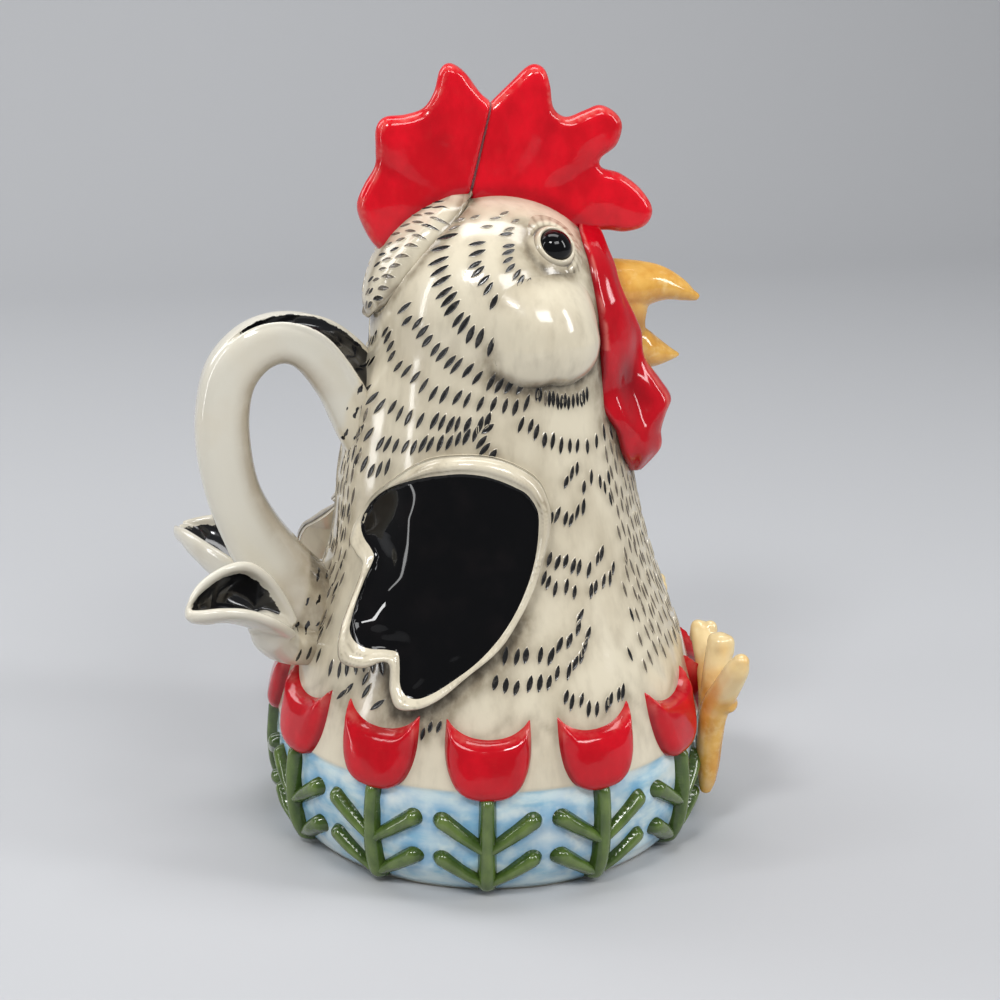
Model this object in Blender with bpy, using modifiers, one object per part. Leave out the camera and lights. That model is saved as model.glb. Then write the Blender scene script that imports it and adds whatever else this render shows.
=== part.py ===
"""A glazed ceramic teapot shaped as a seated rooster. Its lid is the back of the head.

The world frame is in metres. +X points out of the beak, +Y to the bird's left and +Z up. The origin is the
centre of the flat base. Sizes below are in millimetres until MM turns them into metres.
"""

import math

import bmesh
import bpy
from mathutils import Matrix, Vector

MM = 0.001

# Gaps left between neighbouring pieces
GAP = 0.3
FLANGE_GAP = 0.8

# Body: a turned cone with a round head. Each row is a share of the head's height and of the widest radius
HEAD_RADIUS = 37.5
HEAD_HEIGHT = 165.0
BODY_RADIUS = 69.8
BODY_ROWS = ((0, 0.8954), (0.0182, 0.9398), (0.0606, 0.9828), (0.1212, 1), (0.1939, 0.9914),
             (0.2727, 0.9542), (0.3636, 0.894), (0.4545, 0.8109), (0.5455, 0.7335), (0.6364, 0.6777),
             (0.7273, 0.6332), (0.8182, 0.5931), (0.9091, 0.5587), (0.9576, 0.543))
WALL = 5.0
HEAD_THICKENING = 3.0
FLOOR = 7.0
TURN_STEPS = 36

# Lid: an oval cap on a slanting ledge across the back of the head. Ovals are a half length and a half width
SEAT_INSET = 7.3
SEAT_TILT = math.radians(-49)
SEAT_OVAL = (25.0, 16.4)
LID_OVAL = (25.0, 16.0)
LID_RADIUS = 24.2
LID_RISE = 11.4
LID_EDGE = 1.0
OPENING_OVAL = (17.0, 12.0)
FLANGE_WALL = 3.0
FLANGE_DEPTH = 6.0
OVAL_STEPS = 32

# Throat: the bore that pours between the two halves of the beak, below the head's centre
THROAT_RADIUS = 5.0
THROAT_DROP = 3.5
THROAT_START = 20.0
THROAT_END = 50.0

# Comb: flat plates on the middle plane. The outlines of the head's pieces, from here to the cheeks, are
# forward distances and heights from the head's centre, as shares of its radius
COMB_THICK = 8.0
COMB_ROUND = 2.0
FRONT_COMB = ((-0.1653, 0.8267), (0.0053, 1.7333), (0.1333, 1.8747), (0.2933, 2.0133), (0.408, 1.9867),
              (0.4613, 1.8533), (0.4933, 1.6747), (0.5973, 1.5973), (0.752, 1.648), (0.8747, 1.6853),
              (1.0027, 1.6267), (1.064, 1.52), (1.0187, 1.36), (0.8933, 1.256), (0.9093, 1.1787),
              (1.0587, 1.1307), (1.232, 1.0027), (1.3387, 0.8347), (1.2827, 0.696), (1.1147, 0.6453),
              (0.944, 0.664), (0.8267, 0.6347), (0.6667, 0.4533), (0.2133, 0.6667))
REAR_COMB = ((-0.256, 0.8267), (-0.032, 1.7413), (-0.1093, 1.808), (-0.232, 1.968), (-0.352, 2.04),
             (-0.432, 1.9867), (-0.48, 1.816), (-0.5653, 1.6933), (-0.712, 1.6453), (-0.872, 1.6293),
             (-0.944, 1.544), (-0.9493, 1.3707), (-0.9573, 1.2427), (-1.0453, 1.096), (-1.104, 0.9387),
             (-1.064, 0.776), (-0.9493, 0.5867), (-0.7467, 0.4533), (-0.4267, 0.6667))

# Face and wattle: one red flap on the right, in rows from under the comb down to its hanging tip. Each row
# is a rear edge, a front edge and the relief a quarter, half and three quarters of the way between them
WATTLE = (((0.6907, -0.192, 0.7787), (0.848, -0.1333, 0.728), (0.0267, 0.032, 0.0267)),
          ((0.664, -0.4053, 0.6747), (0.8987, -0.2133, 0.6027), (0.0427, 0.0533, 0.0427)),
          ((0.6693, -0.5227, 0.5547), (0.9413, -0.32, 0.4667), (0.0533, 0.0693, 0.0533)),
          ((0.6773, -0.6053, 0.4267), (0.984, -0.3867, 0.3333), (0.0587, 0.08, 0.0587)),
          ((0.696, -0.6667, 0.2693), (1.048, -0.4133, 0.1867), (0.064, 0.0853, 0.064)),
          ((0.7253, -0.696, 0.12), (1.128, -0.36, 0.0373), (0.0693, 0.0907, 0.0693)),
          ((0.7467, -0.7067, -0.024), (1.208, -0.288, -0.1227), (0.08, 0.096, 0.0693)),
          ((0.7493, -0.7093, -0.1573), (1.2187, -0.288, -0.272), (0.0853, 0.0907, 0.064)),
          ((0.7467, -0.6933, -0.344), (1.2533, -0.32, -0.384), (0.096, 0.064, 0.0587)),
          ((0.7253, -0.6773, -0.5173), (1.3493, -0.36, -0.5147), (0.1067, 0.032, 0.0693)),
          ((0.752, -0.6987, -0.6427), (1.4427, -0.3867, -0.6667), (0.112, 0.0213, 0.0853)),
          ((0.8267, -0.7173, -0.7493), (1.3947, -0.4133, -0.784), (0.1013, 0.0533, 0.096)),
          ((0.896, -0.7147, -0.864), (1.352, -0.4267, -0.9253), (0.0853, 0.096, 0.0907)),
          ((0.9573, -0.664, -1.056), (1.3467, -0.44, -1.0853), (0.0747, 0.1067, 0.08)),
          ((1.0853, -0.4693, -1.272), (1.1733, -0.4667, -1.2693), (0.0213, 0.0267, 0.0213)))
WATTLE_DEEP = 0.24
WATTLE_SPLIT = 0.1867
WATTLE_AIMS = ((0.62, -0.78, 0), (0.12, -0.99, 0))

# Beak: stations of forward distance, height, half height and half width
BEAK_UPPER = ((0.8, 0.1733, 0.2533, 0.28), (1.2267, 0.192, 0.192, 0.2187), (1.4533, 0.1947, 0.136, 0.16),
              (1.6347, 0.1333, 0.088, 0.1013), (1.7387, 0.0773, 0.04, 0.0427))
BEAK_LOWER = ((0.8, -0.28, 0.2133, 0.2533), (1.24, -0.3147, 0.2027, 0.1973),
              (1.4, -0.3733, 0.1333, 0.1493), (1.5307, -0.4053, 0.0613, 0.0773),
              (1.5947, -0.416, 0.0267, 0.032))
BEAK_SIDES = 14

# Eyes and cheeks: places on the bird's right, mirrored to the left
EYE_PLACE = (0.3707, -0.624, 0.68)
EYE_AIM = (0.14, -0.81, 0.57)
EYE_RADIUS = 4.6
EYE_RING_RADIUS = 6.5
EYE_RING_THICK = 1.6
EYE_RING_STEPS = 20
CHEEK_PLACE = (0.2133, -0.7573, -0.0267)
CHEEK_AIM = (0.27, -0.96, 0.0)
CHEEK_HALF = (0.4347, 0.3733, 0.4347)

# Wings: an outline seen from the side, laid over the body, whose trailing lobes stand off it
WING = ((-42.6, 101.8), (-39.4, 109.5), (-33.3, 118), (-20.9, 129.1), (-9, 132.6), (2.8, 131.8),
        (13.2, 126.1), (17.4, 118.3), (18.1, 111), (16.4, 102.5), (13.5, 94), (9.1, 85.8), (3.3, 77.7),
        (-5.6, 70.7), (-14.4, 63.3), (-21.9, 59.4), (-27.4, 59.4), (-29.5, 64), (-30.2, 71.7),
        (-37.3, 70.9), (-43.4, 73.9), (-44.6, 78.2), (-43.5, 84), (-38.4, 95.7), (-40.7, 98.9))
WING_ANGLE = -102.0
WING_THICK = 4.5
WING_FLARE = 18.0
FLARE_START = -22.0
FLARE_END = -45.4
FLARE_TOP = 106.0
FLARE_FULL = 84.0

# Handle: stations on the middle plane, as shares of the body's radius and the head's height, with a radius
HANDLE = ((-0.4441, 0.7333, 13), (-0.5516, 0.8121, 12), (-0.6547, 0.8909, 10.4), (-0.788, 0.9533, 8.9),
          (-0.9198, 0.9727, 7.9), (-1.0516, 0.9564, 8), (-1.1533, 0.9091, 8.3), (-1.1948, 0.8424, 8.4),
          (-1.1948, 0.7636, 8.6), (-1.1576, 0.6788, 8.8), (-1.0831, 0.6018, 9.5),
          (-0.9971, 0.5364, 11.2), (-0.8883, 0.4727, 13.4), (-0.745, 0.4061, 15))
HANDLE_SIDES = 14

# Tail feathers from root to tip: two edges of a cup, as shares of the body's radius and the head's height,
# and its depth. The right one tips outwards on a stalk of places and radii. The left one opens upwards
TAIL_RIGHT = ((-0.9542, -0.3152, 0.4382, -0.9427, -0.2579, 0.4545, 4),
              (-1.0086, -0.3797, 0.4661, -0.9857, -0.265, 0.4988, 7),
              (-1.0917, -0.4441, 0.4964, -1.053, -0.2794, 0.5467, 9),
              (-1.1848, -0.4943, 0.5176, -1.1375, -0.308, 0.5776, 10),
              (-1.2765, -0.533, 0.5273, -1.2407, -0.3725, 0.583, 8.5),
              (-1.3524, -0.5415, 0.5273, -1.351, -0.4441, 0.5648, 5),
              (-1.4183, -0.533, 0.5279, -1.4169, -0.5186, 0.5382, 1))
TAIL_LEFT = ((-0.8069, 0.0602, 0.3988, -0.799, 0.2032, 0.3988, 6),
             (-0.9018, 0.043, 0.416, -0.8723, 0.2124, 0.416, 8),
             (-0.9783, -0.0016, 0.4477, -0.8643, 0.1805, 0.4477, 11),
             (-1.1232, 0.0311, 0.5152, -0.9129, 0.2257, 0.5152, 13),
             (-1.2917, 0.188, 0.5515, -1.0513, 0.4134, 0.5515, 9.5),
             (-1.376, 0.3412, 0.5596, -1.2119, 0.5213, 0.5596, 6),
             (-1.4082, 0.4789, 0.5491, -1.3626, 0.5378, 0.5491, 1.6))
TAIL_STALK = ((-0.8166, -0.1504, 0.3818, 6), (-0.9312, -0.1791, 0.3927, 6), (-0.9957, -0.2292, 0.4109, 6),
              (-1.0387, -0.2794, 0.44, 6.4), (-1.0817, -0.3223, 0.4715, 6.4), (-1.1032, -0.3438, 0.4909, 4))
FEATHER_THICK = 3.4
FEATHER_ARC = 7
STALK_SIDES = 12

# Feet: tubes, as distance off the widest radius, sideways distance towards the front, height and radius
FOOT_ANGLES = {"foot_right": -30.0, "foot_left": 41.0}
FOOT_OUTER = ((3.7, 0, 15.6, 2.2), (4.2, 0, 22, 3.6), (4.4, 0, 33, 4.3), (5.9, -1, 44, 4.6),
              (9.4, -3, 52, 4.4), (12.9, -4.5, 59.5, 3.8), (14, -5, 62.4, 2.8))
FOOT_MIDDLE = ((4.2, 0, 36, 3.8), (5.4, 4, 50, 4.3), (6.4, 7, 61, 4.2), (6.7, 7.6, 65.4, 2.8))
FOOT_INNER = ((4.2, 0, 36, 3.8), (2.6, 8, 47.5, 4), (-0.6, 16, 56.5, 4), (-3, 21.4, 62.4, 3.8),
              (-3.6, 22.6, 65, 2.6))
FOOT_SIDES = 8

# Tulip border: twelve flowers on stems, each an outline of sideways distance and height, one half
TULIP_COUNT = 12
TULIP_PHASE = -102.0
TULIP_HALF = ((0, 33.3), (5.5, 34), (9.5, 36.6), (11.8, 41), (12.7, 46), (12.7, 51), (12, 57.2),
              (9.2, 54.7), (5, 52.5), (0, 51.6))
TULIP_THICK = 4.0
STEM_WIDTH = 4.2
STEM_FOOT = 2.2
STEM_TOP = 32.8
LEAF_STARTS = (4.4, 14.8)
LEAF_LENGTH = 15.6
LEAF_WIDTH = 4.4
LEAF_SLANT = math.radians(33)
SPRIG_THICK = 3.0
TULIP_BAND = (20.0, 76.0)
SPRIG_BAND = (0.0, 46.0)
FOOT_NEIGHBOURS = (-42, -12, 18, 48)

# Colours as linear red, green and blue, with roughness
GLAZES = {
    "cream_glaze": ((0.72, 0.66, 0.53), 0.22),
    "ivory_glaze": ((0.78, 0.74, 0.64), 0.15),
    "red_glaze": ((0.52, 0.012, 0.018), 0.14),
    "black_glaze": ((0.006, 0.006, 0.007), 0.06),
    "amber_glaze": ((0.66, 0.34, 0.08), 0.16),
    "green_glaze": ((0.06, 0.13, 0.02), 0.2),
}

for old in list(bpy.data.objects):
    bpy.data.objects.remove(old, do_unlink=True)
pieces = bpy.data.collections.new("rooster_teapot")
cutters = bpy.data.collections.new("cutters")
bpy.context.scene.collection.children.link(pieces)
bpy.context.scene.collection.children.link(cutters)


def glaze(name):
    colour, roughness = GLAZES[name]
    material = bpy.data.materials.new(name)
    material.use_nodes = True
    shader = material.node_tree.nodes["Principled BSDF"]
    shader.inputs["Base Color"].default_value = (*colour, 1)
    shader.inputs["Roughness"].default_value = roughness
    shader.inputs["Metallic"].default_value = 0
    material.diffuse_color = (*colour, 1)
    return material


glazes = {name: glaze(name) for name in GLAZES}


def scaled(point):
    return Vector(point) * MM


def smooth_line(points, per_span, closed):
    """Points along a Catmull-Rom curve through the given rows of numbers."""
    rows = [Vector(row) for row in points]
    count = len(rows)
    spans = count if closed else count - 1
    line = []
    for span in range(spans):
        if closed:
            a, b, c, d = (rows[(span + step) % count] for step in (-1, 0, 1, 2))
        else:
            a, b, c, d = (rows[min(max(span + step, 0), count - 1)] for step in (-1, 0, 1, 2))
        for step in range(per_span):
            t = step / per_span
            line.append(0.5 * (2 * b + (c - a) * t + (2 * a - 5 * b + 4 * c - d) * t**2
                               + (3 * b - a - 3 * c + d) * t**3))
    if not closed:
        line.append(rows[-1])
    return line


def from_head(rows):
    """Rows in shares of the head's radius, turned into lengths, with heights above the base."""
    grown_rows = [[number * HEAD_RADIUS for number in row] for row in rows]
    return [(row[0], row[1] + HEAD_HEIGHT, *row[2:]) for row in grown_rows]


def head_place(shares):
    """A place given as shares of the head's radius from its centre."""
    return Vector((0, 0, HEAD_HEIGHT)) + Vector(shares) * HEAD_RADIUS


def head_size(shares):
    """Half sizes given as shares of the head's radius."""
    return [share * HEAD_RADIUS for share in shares]


def as_piece(obj, material):
    """Puts an object among the parts with its glaze, smooth but for its sharp edges."""
    pieces.objects.link(obj)
    obj.data.materials.append(glazes[material])
    obj.data.shade_smooth()
    obj.data.set_sharp_from_angle(angle=math.radians(40))
    return obj


def as_cutter(obj):
    """Puts an object among the helpers, which are never rendered."""
    cutters.objects.link(obj)
    obj.hide_render = True
    obj.display_type = "WIRE"
    return obj


def mesh_object(name, rings, closed_ends=True):
    """A closed solid lofted through rings that hold the same number of points."""
    shape = bmesh.new()
    loops = [[shape.verts.new(scaled(point)) for point in ring] for ring in rings]
    sides = len(loops[0])
    for one, two in zip(loops, loops[1:]):
        for side in range(sides):
            following = (side + 1) % sides
            shape.faces.new((one[side], one[following], two[following], two[side]))
    if closed_ends:
        shape.faces.new(loops[0][::-1])
        shape.faces.new(loops[-1])
    bmesh.ops.recalc_face_normals(shape, faces=shape.faces)
    mesh = bpy.data.meshes.new(name)
    shape.to_mesh(mesh)
    shape.free()
    return bpy.data.objects.new(name, mesh)


def prism(name, outline, place):
    """A straight solid over an outline. place gives the near and far point of each outline row."""
    near = [place(row)[0] for row in outline]
    far = [place(row)[1] for row in outline]
    return mesh_object(name, (near, far))


def turned(name, profile, steps=TURN_STEPS):
    """A solid turned about Z from rows of radius and height, from the top down the outer side."""
    mesh = bpy.data.meshes.new(name)
    points = [scaled((radius, 0, height)) for radius, height in profile]
    edges = [(row, row + 1) for row in range(len(points) - 1)]
    if profile[0][0] > 0:
        edges.append((len(points) - 1, 0))
    mesh.from_pydata(points, edges, [])
    obj = bpy.data.objects.new(name, mesh)
    turn = obj.modifiers.new("turn", "SCREW")
    turn.axis = "Z"
    turn.steps = turn.render_steps = steps
    turn.use_merge_vertices = True
    turn.merge_threshold = 0.000001
    return obj


def boolean(obj, operation, other):
    step = obj.modifiers.new(operation.lower(), "BOOLEAN")
    step.operation = operation
    step.solver = "EXACT"
    if isinstance(other, bpy.types.Collection):
        step.operand_type = "COLLECTION"
        step.collection = other
    else:
        step.object = other


def tube(name, stations, sides, grow=0.0):
    """A solid round a line of places, each with its own radius."""
    rows = smooth_line(stations, 2, closed=False)
    rings = []
    turns = [2 * math.pi * step / sides for step in range(sides)]
    for index, row in enumerate(rows):
        along = (rows[min(index + 1, len(rows) - 1)] - rows[max(index - 1, 0)]).xyz.normalized()
        side = along.cross(Vector((0, 1, 0))).normalized()
        up = side.cross(along)
        rings.append([row.xyz + (row.w + grow) * (side * math.cos(a) + up * math.sin(a)) for a in turns])
    return mesh_object(name, rings)


def body_profile(grow, head=HEAD_RADIUS):
    """Outer rows of radius and height from the crown down, moved out by grow along the surface normal."""
    lower = [(wide * BODY_RADIUS, share * HEAD_HEIGHT) for share, wide in BODY_ROWS]
    rows = [(head * math.cos(angle), HEAD_HEIGHT + head * math.sin(angle))
            for angle in (math.radians(step) for step in range(75, -1, -15))]
    rows += lower[::-1]
    moved = [(0.0, HEAD_HEIGHT + head + grow)]
    for index, (radius, height) in enumerate(rows):
        above = rows[max(index - 1, 0)]
        below = rows[min(index + 1, len(rows) - 1)]
        normal = Vector((above[1] - below[1], below[0] - above[0])).normalized()
        moved.append((radius + grow * normal.x, height + grow * normal.y))
    return moved


def surface_radius(height):
    """The body's outer radius at a height below the head."""
    share = height / HEAD_HEIGHT
    for (low, near), (high, far) in zip(BODY_ROWS, BODY_ROWS[1:]):
        if low <= share <= high:
            return BODY_RADIUS * (near + (far - near) * (share - low) / (high - low))
    return HEAD_RADIUS


def filled_body(name, grow):
    """The body with no hollow, grown by a gap and carried below the base so that it cuts cleanly."""
    profile = body_profile(grow)
    deep = min(height for radius, height in profile) - WALL
    return turned(name, profile + [(profile[-1][0], deep), (0.0, deep)])


def relief_shell(name, band, inner, outer):
    """A ring that follows the body between two heights, from one distance off its surface to another."""
    def side(grow):
        return [(radius, height) for radius, height in body_profile(grow) if band[0] <= height <= band[1]]
    return turned(name, side(outer) + side(inner)[::-1])


def mirrored(name, obj):
    """A copy of a finished piece on the other side of the middle plane."""
    graph = bpy.context.evaluated_depsgraph_get()
    mesh = bpy.data.meshes.new_from_object(obj.evaluated_get(graph))
    mesh.transform(Matrix.Scale(-1, 4, (0, 1, 0)) @ obj.matrix_world)
    mesh.flip_normals()
    mesh.name = name
    twin = bpy.data.objects.new(name, mesh)
    pieces.objects.link(twin)
    return twin


def across(half_width):
    """Places an outline of forward distance and height on both sides of the middle plane."""
    return lambda row: ((row[0], -half_width, row[1]), (row[0], half_width, row[1]))


def outward(angle, near, far):
    """Places an outline of sideways distance and height on a plane that faces out at this angle."""
    turn = Matrix.Rotation(math.radians(angle), 3, "Z")
    return lambda row: (turn @ Vector((near, row[0], row[1])), turn @ Vector((far, row[0], row[1])))


def ball(name, centre, half, aim=None):
    """An ellipsoid whose middle half size lies along the aim."""
    shape = bmesh.new()
    bmesh.ops.create_uvsphere(shape, u_segments=20, v_segments=12, radius=MM)
    stretch = Matrix.Diagonal((*half, 1))
    turn = Vector(aim).to_track_quat("-Y", "Z").to_matrix().to_4x4() if aim else Matrix()
    place = Matrix.Translation(scaled(centre))
    bmesh.ops.transform(shape, matrix=place @ turn @ stretch, verts=shape.verts)
    mesh = bpy.data.meshes.new(name)
    shape.to_mesh(mesh)
    shape.free()
    return bpy.data.objects.new(name, mesh)


def rod(name, start, end, radius, sides=24):
    """A straight round cutter between two places."""
    along = (Vector(end) - Vector(start)).normalized()
    side = along.orthogonal().normalized()
    up = along.cross(side)
    turns = [2 * math.pi * step / sides for step in range(sides)]
    ring = [radius * (side * math.cos(a) + up * math.sin(a)) for a in turns]
    return mesh_object(name, [[Vector(place) + point for point in ring] for place in (start, end)])


# Body shell: filled outside, hollowed, cut off at the lid seat and bored for the lid and the throat
head_centre = Vector((0, 0, HEAD_HEIGHT))
seat_axis = Matrix.Rotation(SEAT_TILT, 3, "Y") @ Vector((0, 0, 1))
seat_place = head_centre + (HEAD_RADIUS - SEAT_INSET) * seat_axis
outside = body_profile(0)
body = as_piece(turned("body_shell", outside + [(0.0, 0.0)]), "cream_glaze")
inside = body_profile(-WALL, HEAD_RADIUS - HEAD_THICKENING)
hollow = [(radius, max(height, FLOOR)) for radius, height in inside if height > FLOOR - 3]
hollow = as_cutter(turned("hollow", hollow + [(0.0, FLOOR)]))
lid_frame = Matrix.Translation(seat_place * MM) @ Matrix.Rotation(SEAT_TILT, 4, "Y")


def oval(name, half, low, high, grow=0.0):
    """A straight solid over an oval, in the lid's frame."""
    turns = [2 * math.pi * step / OVAL_STEPS for step in range(OVAL_STEPS)]
    ring = [((half[0] + grow) * math.cos(a), (half[1] + grow) * math.sin(a)) for a in turns]
    obj = mesh_object(name, [[(along, wide, height) for along, wide in ring] for height in (low, high)])
    obj.matrix_world = lid_frame
    return obj


seat_cut = as_cutter(oval("seat_cut", SEAT_OVAL, 0, HEAD_RADIUS))
opening = as_cutter(oval("opening", OPENING_OVAL, -3 * FLANGE_WALL, 3 * FLANGE_WALL))
throat_height = HEAD_HEIGHT - THROAT_DROP
throat_ends = [(forward, 0, throat_height) for forward in (THROAT_START, THROAT_END)]
throat = as_cutter(rod("throat", *throat_ends, THROAT_RADIUS))
for cutter in (hollow, seat_cut, opening, throat):
    boolean(body, "DIFFERENCE", cutter)
body_gap = as_cutter(filled_body("body_gap", GAP))

# Lid: a domed cap trimmed to its oval, with a hollow flange that drops into the opening


def cap_profile(grow):
    """The cap's outer side from its top to its rim, as part of a circle."""
    rise = LID_RISE - LID_EDGE
    circle = (LID_RADIUS**2 + rise**2) / (2 * rise)
    steep = math.asin(LID_RADIUS / circle)
    steps = 7
    angles = [steep * step / steps for step in range(steps + 1)]
    grown_circle = circle + grow
    return [(grown_circle * math.sin(a), LID_RISE - circle + grown_circle * math.cos(a)) for a in angles]


lid = as_piece(turned("lid_cap", cap_profile(0) + [(LID_RADIUS - 0.4, GAP), (0.0, GAP)]), "cream_glaze")
lid.matrix_world = lid_frame
flange = as_cutter(oval("flange", OPENING_OVAL, -FLANGE_DEPTH, 2, -FLANGE_GAP))
hollow_inset = -FLANGE_GAP - FLANGE_WALL
lid_hollow = as_cutter(oval("lid_hollow", OPENING_OVAL, -FLANGE_DEPTH - 1, LID_RISE - WALL, hollow_inset))
boolean(lid, "INTERSECT", as_cutter(oval("lid_trim", LID_OVAL, -1, LID_RISE + 5)))
boolean(lid, "UNION", flange)
boolean(lid, "DIFFERENCE", lid_hollow)
cap_gap_rows = cap_profile(GAP)
lid_gap = as_cutter(turned("lid_gap", cap_gap_rows + [(cap_gap_rows[-1][0], -3.0), (0.0, -3.0)]))
lid_gap.matrix_world = lid_frame


def comb(name, outline, bases):
    loop = smooth_line(from_head(outline), 2, closed=True)
    obj = prism(name, loop, across(COMB_THICK / 2))
    soften = obj.modifiers.new("soften", "BEVEL")
    soften.width = COMB_ROUND * MM
    soften.segments = 2
    soften.limit_method = "ANGLE"
    soften.angle_limit = math.radians(60)
    for base in bases:
        boolean(obj, "DIFFERENCE", base)
    return as_piece(obj, "red_glaze")


front_comb = comb("front_comb", FRONT_COMB, (body_gap,))
rear_comb = comb("rear_comb", REAR_COMB, (lid_gap, body_gap))


def horn(name, stations, grow=0.0):
    """Half of the beak, as ovals that shrink towards the tip."""
    turns = [2 * math.pi * step / BEAK_SIDES for step in range(BEAK_SIDES)]
    rings = []
    for forward, height, tall, wide in smooth_line(from_head(stations), 2, closed=False):
        rings.append([(forward, (wide + grow) * math.cos(a), height + (tall + grow) * math.sin(a))
                      for a in turns])
    return mesh_object(name, rings)


for name, stations in (("beak_upper", BEAK_UPPER), ("beak_lower", BEAK_LOWER)):
    half = as_piece(horn(name, stations), "amber_glaze")
    boolean(half, "DIFFERENCE", body_gap)
    boolean(half, "DIFFERENCE", throat)
beak_gaps = bpy.data.collections.new("beak_gaps")
cutters.children.link(beak_gaps)
beak_gaps.objects.link(throat)
for name, stations in (("upper_gap", BEAK_UPPER), ("lower_gap", BEAK_LOWER)):
    beak_gaps.objects.link(as_cutter(horn(name, stations, GAP)))

# Face: eye, eye ring, cheek and wattle on the right, then their mirror images
aim = Vector(EYE_AIM).normalized()
eye_place = head_place(EYE_PLACE)
eye = as_piece(ball("eye_right", eye_place, (EYE_RADIUS,) * 3), "black_glaze")
boolean(eye, "DIFFERENCE", body_gap)
side = aim.orthogonal().normalized()
up = aim.cross(side)
ring_rows = []
for step in range(EYE_RING_STEPS):
    angle = 2 * math.pi * step / EYE_RING_STEPS
    spoke = side * math.cos(angle) + up * math.sin(angle)
    middle = eye_place + spoke * EYE_RING_RADIUS
    turns = [2 * math.pi * part / 6 for part in range(6)]
    ring_rows.append([middle + EYE_RING_THICK * (spoke * math.cos(a) + aim * 1.6 * math.sin(a))
                      for a in turns])
eye_ring = mesh_object("eye_ring_right", ring_rows + ring_rows[:1], closed_ends=False)
as_piece(eye_ring, "cream_glaze")
weld = eye_ring.modifiers.new("weld", "WELD")
weld.merge_threshold = 0.000001
boolean(eye_ring, "DIFFERENCE", body_gap)
cheek_place = head_place(CHEEK_PLACE)
cheek_half = head_size(CHEEK_HALF)
cheek = as_piece(ball("cheek_right", cheek_place, cheek_half, CHEEK_AIM), "cream_glaze")
boolean(cheek, "DIFFERENCE", body_gap)
cheek_gap = as_cutter(ball("cheek_gap", cheek_place, [half + GAP for half in cheek_half], CHEEK_AIM))


def wattle_ring(row, aim):
    """A closed section of the flap: its relief from the rear edge to the front edge, then its inner side."""
    rear, front = head_place(row[0:3]), head_place(row[3:6])
    ring = [rear]
    reliefs = ((0.1, row[6] * 0.72), (0.25, row[6]), (0.5, row[7]), (0.75, row[8]), (0.9, row[8] * 0.72))
    for share, relief in reliefs:
        ring.append(rear.lerp(front, share) + aim * relief * HEAD_RADIUS)
    ring.append(front)
    for share in (0.9, 0.5, 0.1):
        inner = rear.lerp(front, share)
        free = -inner.y - WATTLE_SPLIT * HEAD_RADIUS
        inner.y += min(WATTLE_DEEP * HEAD_RADIUS, max(free, GAP))
        ring.append(inner)
    return ring


wattle_rows = smooth_line([sum(row, ()) for row in WATTLE], 2, closed=False)
wattle_aims = [Vector(aim).normalized() for aim in WATTLE_AIMS]
wattle_rings = []
for index, row in enumerate(wattle_rows):
    down = index / (len(wattle_rows) - 1)
    turn_by = min(max((down - 0.35) / 0.25, 0), 1)
    wattle_rings.append(wattle_ring(row, wattle_aims[0].lerp(wattle_aims[1], turn_by).normalized()))
wattle = as_piece(mesh_object("wattle_right", wattle_rings), "red_glaze")
for cutter in (body_gap, cheek_gap, beak_gaps):
    boolean(wattle, "DIFFERENCE", cutter)

# Wings: a plate whose two faces follow the body, moved out further along its trailing lobes


def wing_place(side, height, off):
    """A place on the body's surface, moved out, from the outline's sideways distance and height."""
    flare = WING_FLARE * max(0, (FLARE_START - side) / (FLARE_START - FLARE_END)) ** 2
    flare *= min(1, max(0, (FLARE_TOP - height) / (FLARE_TOP - FLARE_FULL)))
    radius = surface_radius(height) + off + flare
    turn = Matrix.Rotation(math.radians(WING_ANGLE), 3, "Z")
    return turn @ Vector((math.sqrt(radius**2 - side**2), side, height))


def wing_plate(name):
    shape = bmesh.new()
    shape.faces.new([shape.verts.new((side, height, 0)) for side, height in WING])
    bmesh.ops.triangulate(shape, faces=shape.faces, quad_method="BEAUTY", ngon_method="BEAUTY")
    bmesh.ops.subdivide_edges(shape, edges=shape.edges, cuts=2, use_grid_fill=True)
    flat = {vert: (vert.co.x, vert.co.y) for vert in shape.verts}
    rim = [edge for edge in shape.edges if edge.is_boundary]
    faces = list(shape.faces)
    outer = {vert: shape.verts.new(scaled(wing_place(*place, WING_THICK))) for vert, place in flat.items()}
    for vert, place in flat.items():
        vert.co = scaled(wing_place(*place, -GAP))
    for face in faces:
        shape.faces.new([outer[vert] for vert in face.verts])
    for edge in rim:
        a, b = edge.verts
        shape.faces.new((a, b, outer[b], outer[a]))
    bmesh.ops.recalc_face_normals(shape, faces=shape.faces)
    mesh = bpy.data.meshes.new(name)
    shape.to_mesh(mesh)
    shape.free()
    return bpy.data.objects.new(name, mesh)


wing = as_piece(wing_plate("wing_right"), "black_glaze")
boolean(wing, "DIFFERENCE", body_gap)

# Handle and tail feathers
handle_stations = [(x * BODY_RADIUS, 0, z * HEAD_HEIGHT, radius) for x, z, radius in HANDLE]
handle = as_piece(tube("handle", handle_stations, HANDLE_SIDES), "ivory_glaze")
boolean(handle, "DIFFERENCE", body_gap)
handle_gap = as_cutter(tube("handle_gap", handle_stations, HANDLE_SIDES, GAP))


def on_body(shares):
    """A place given as shares of the body's radius and the head's height."""
    return Vector((shares[0] * BODY_RADIUS, shares[1] * BODY_RADIUS, shares[2] * HEAD_HEIGHT))


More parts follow.
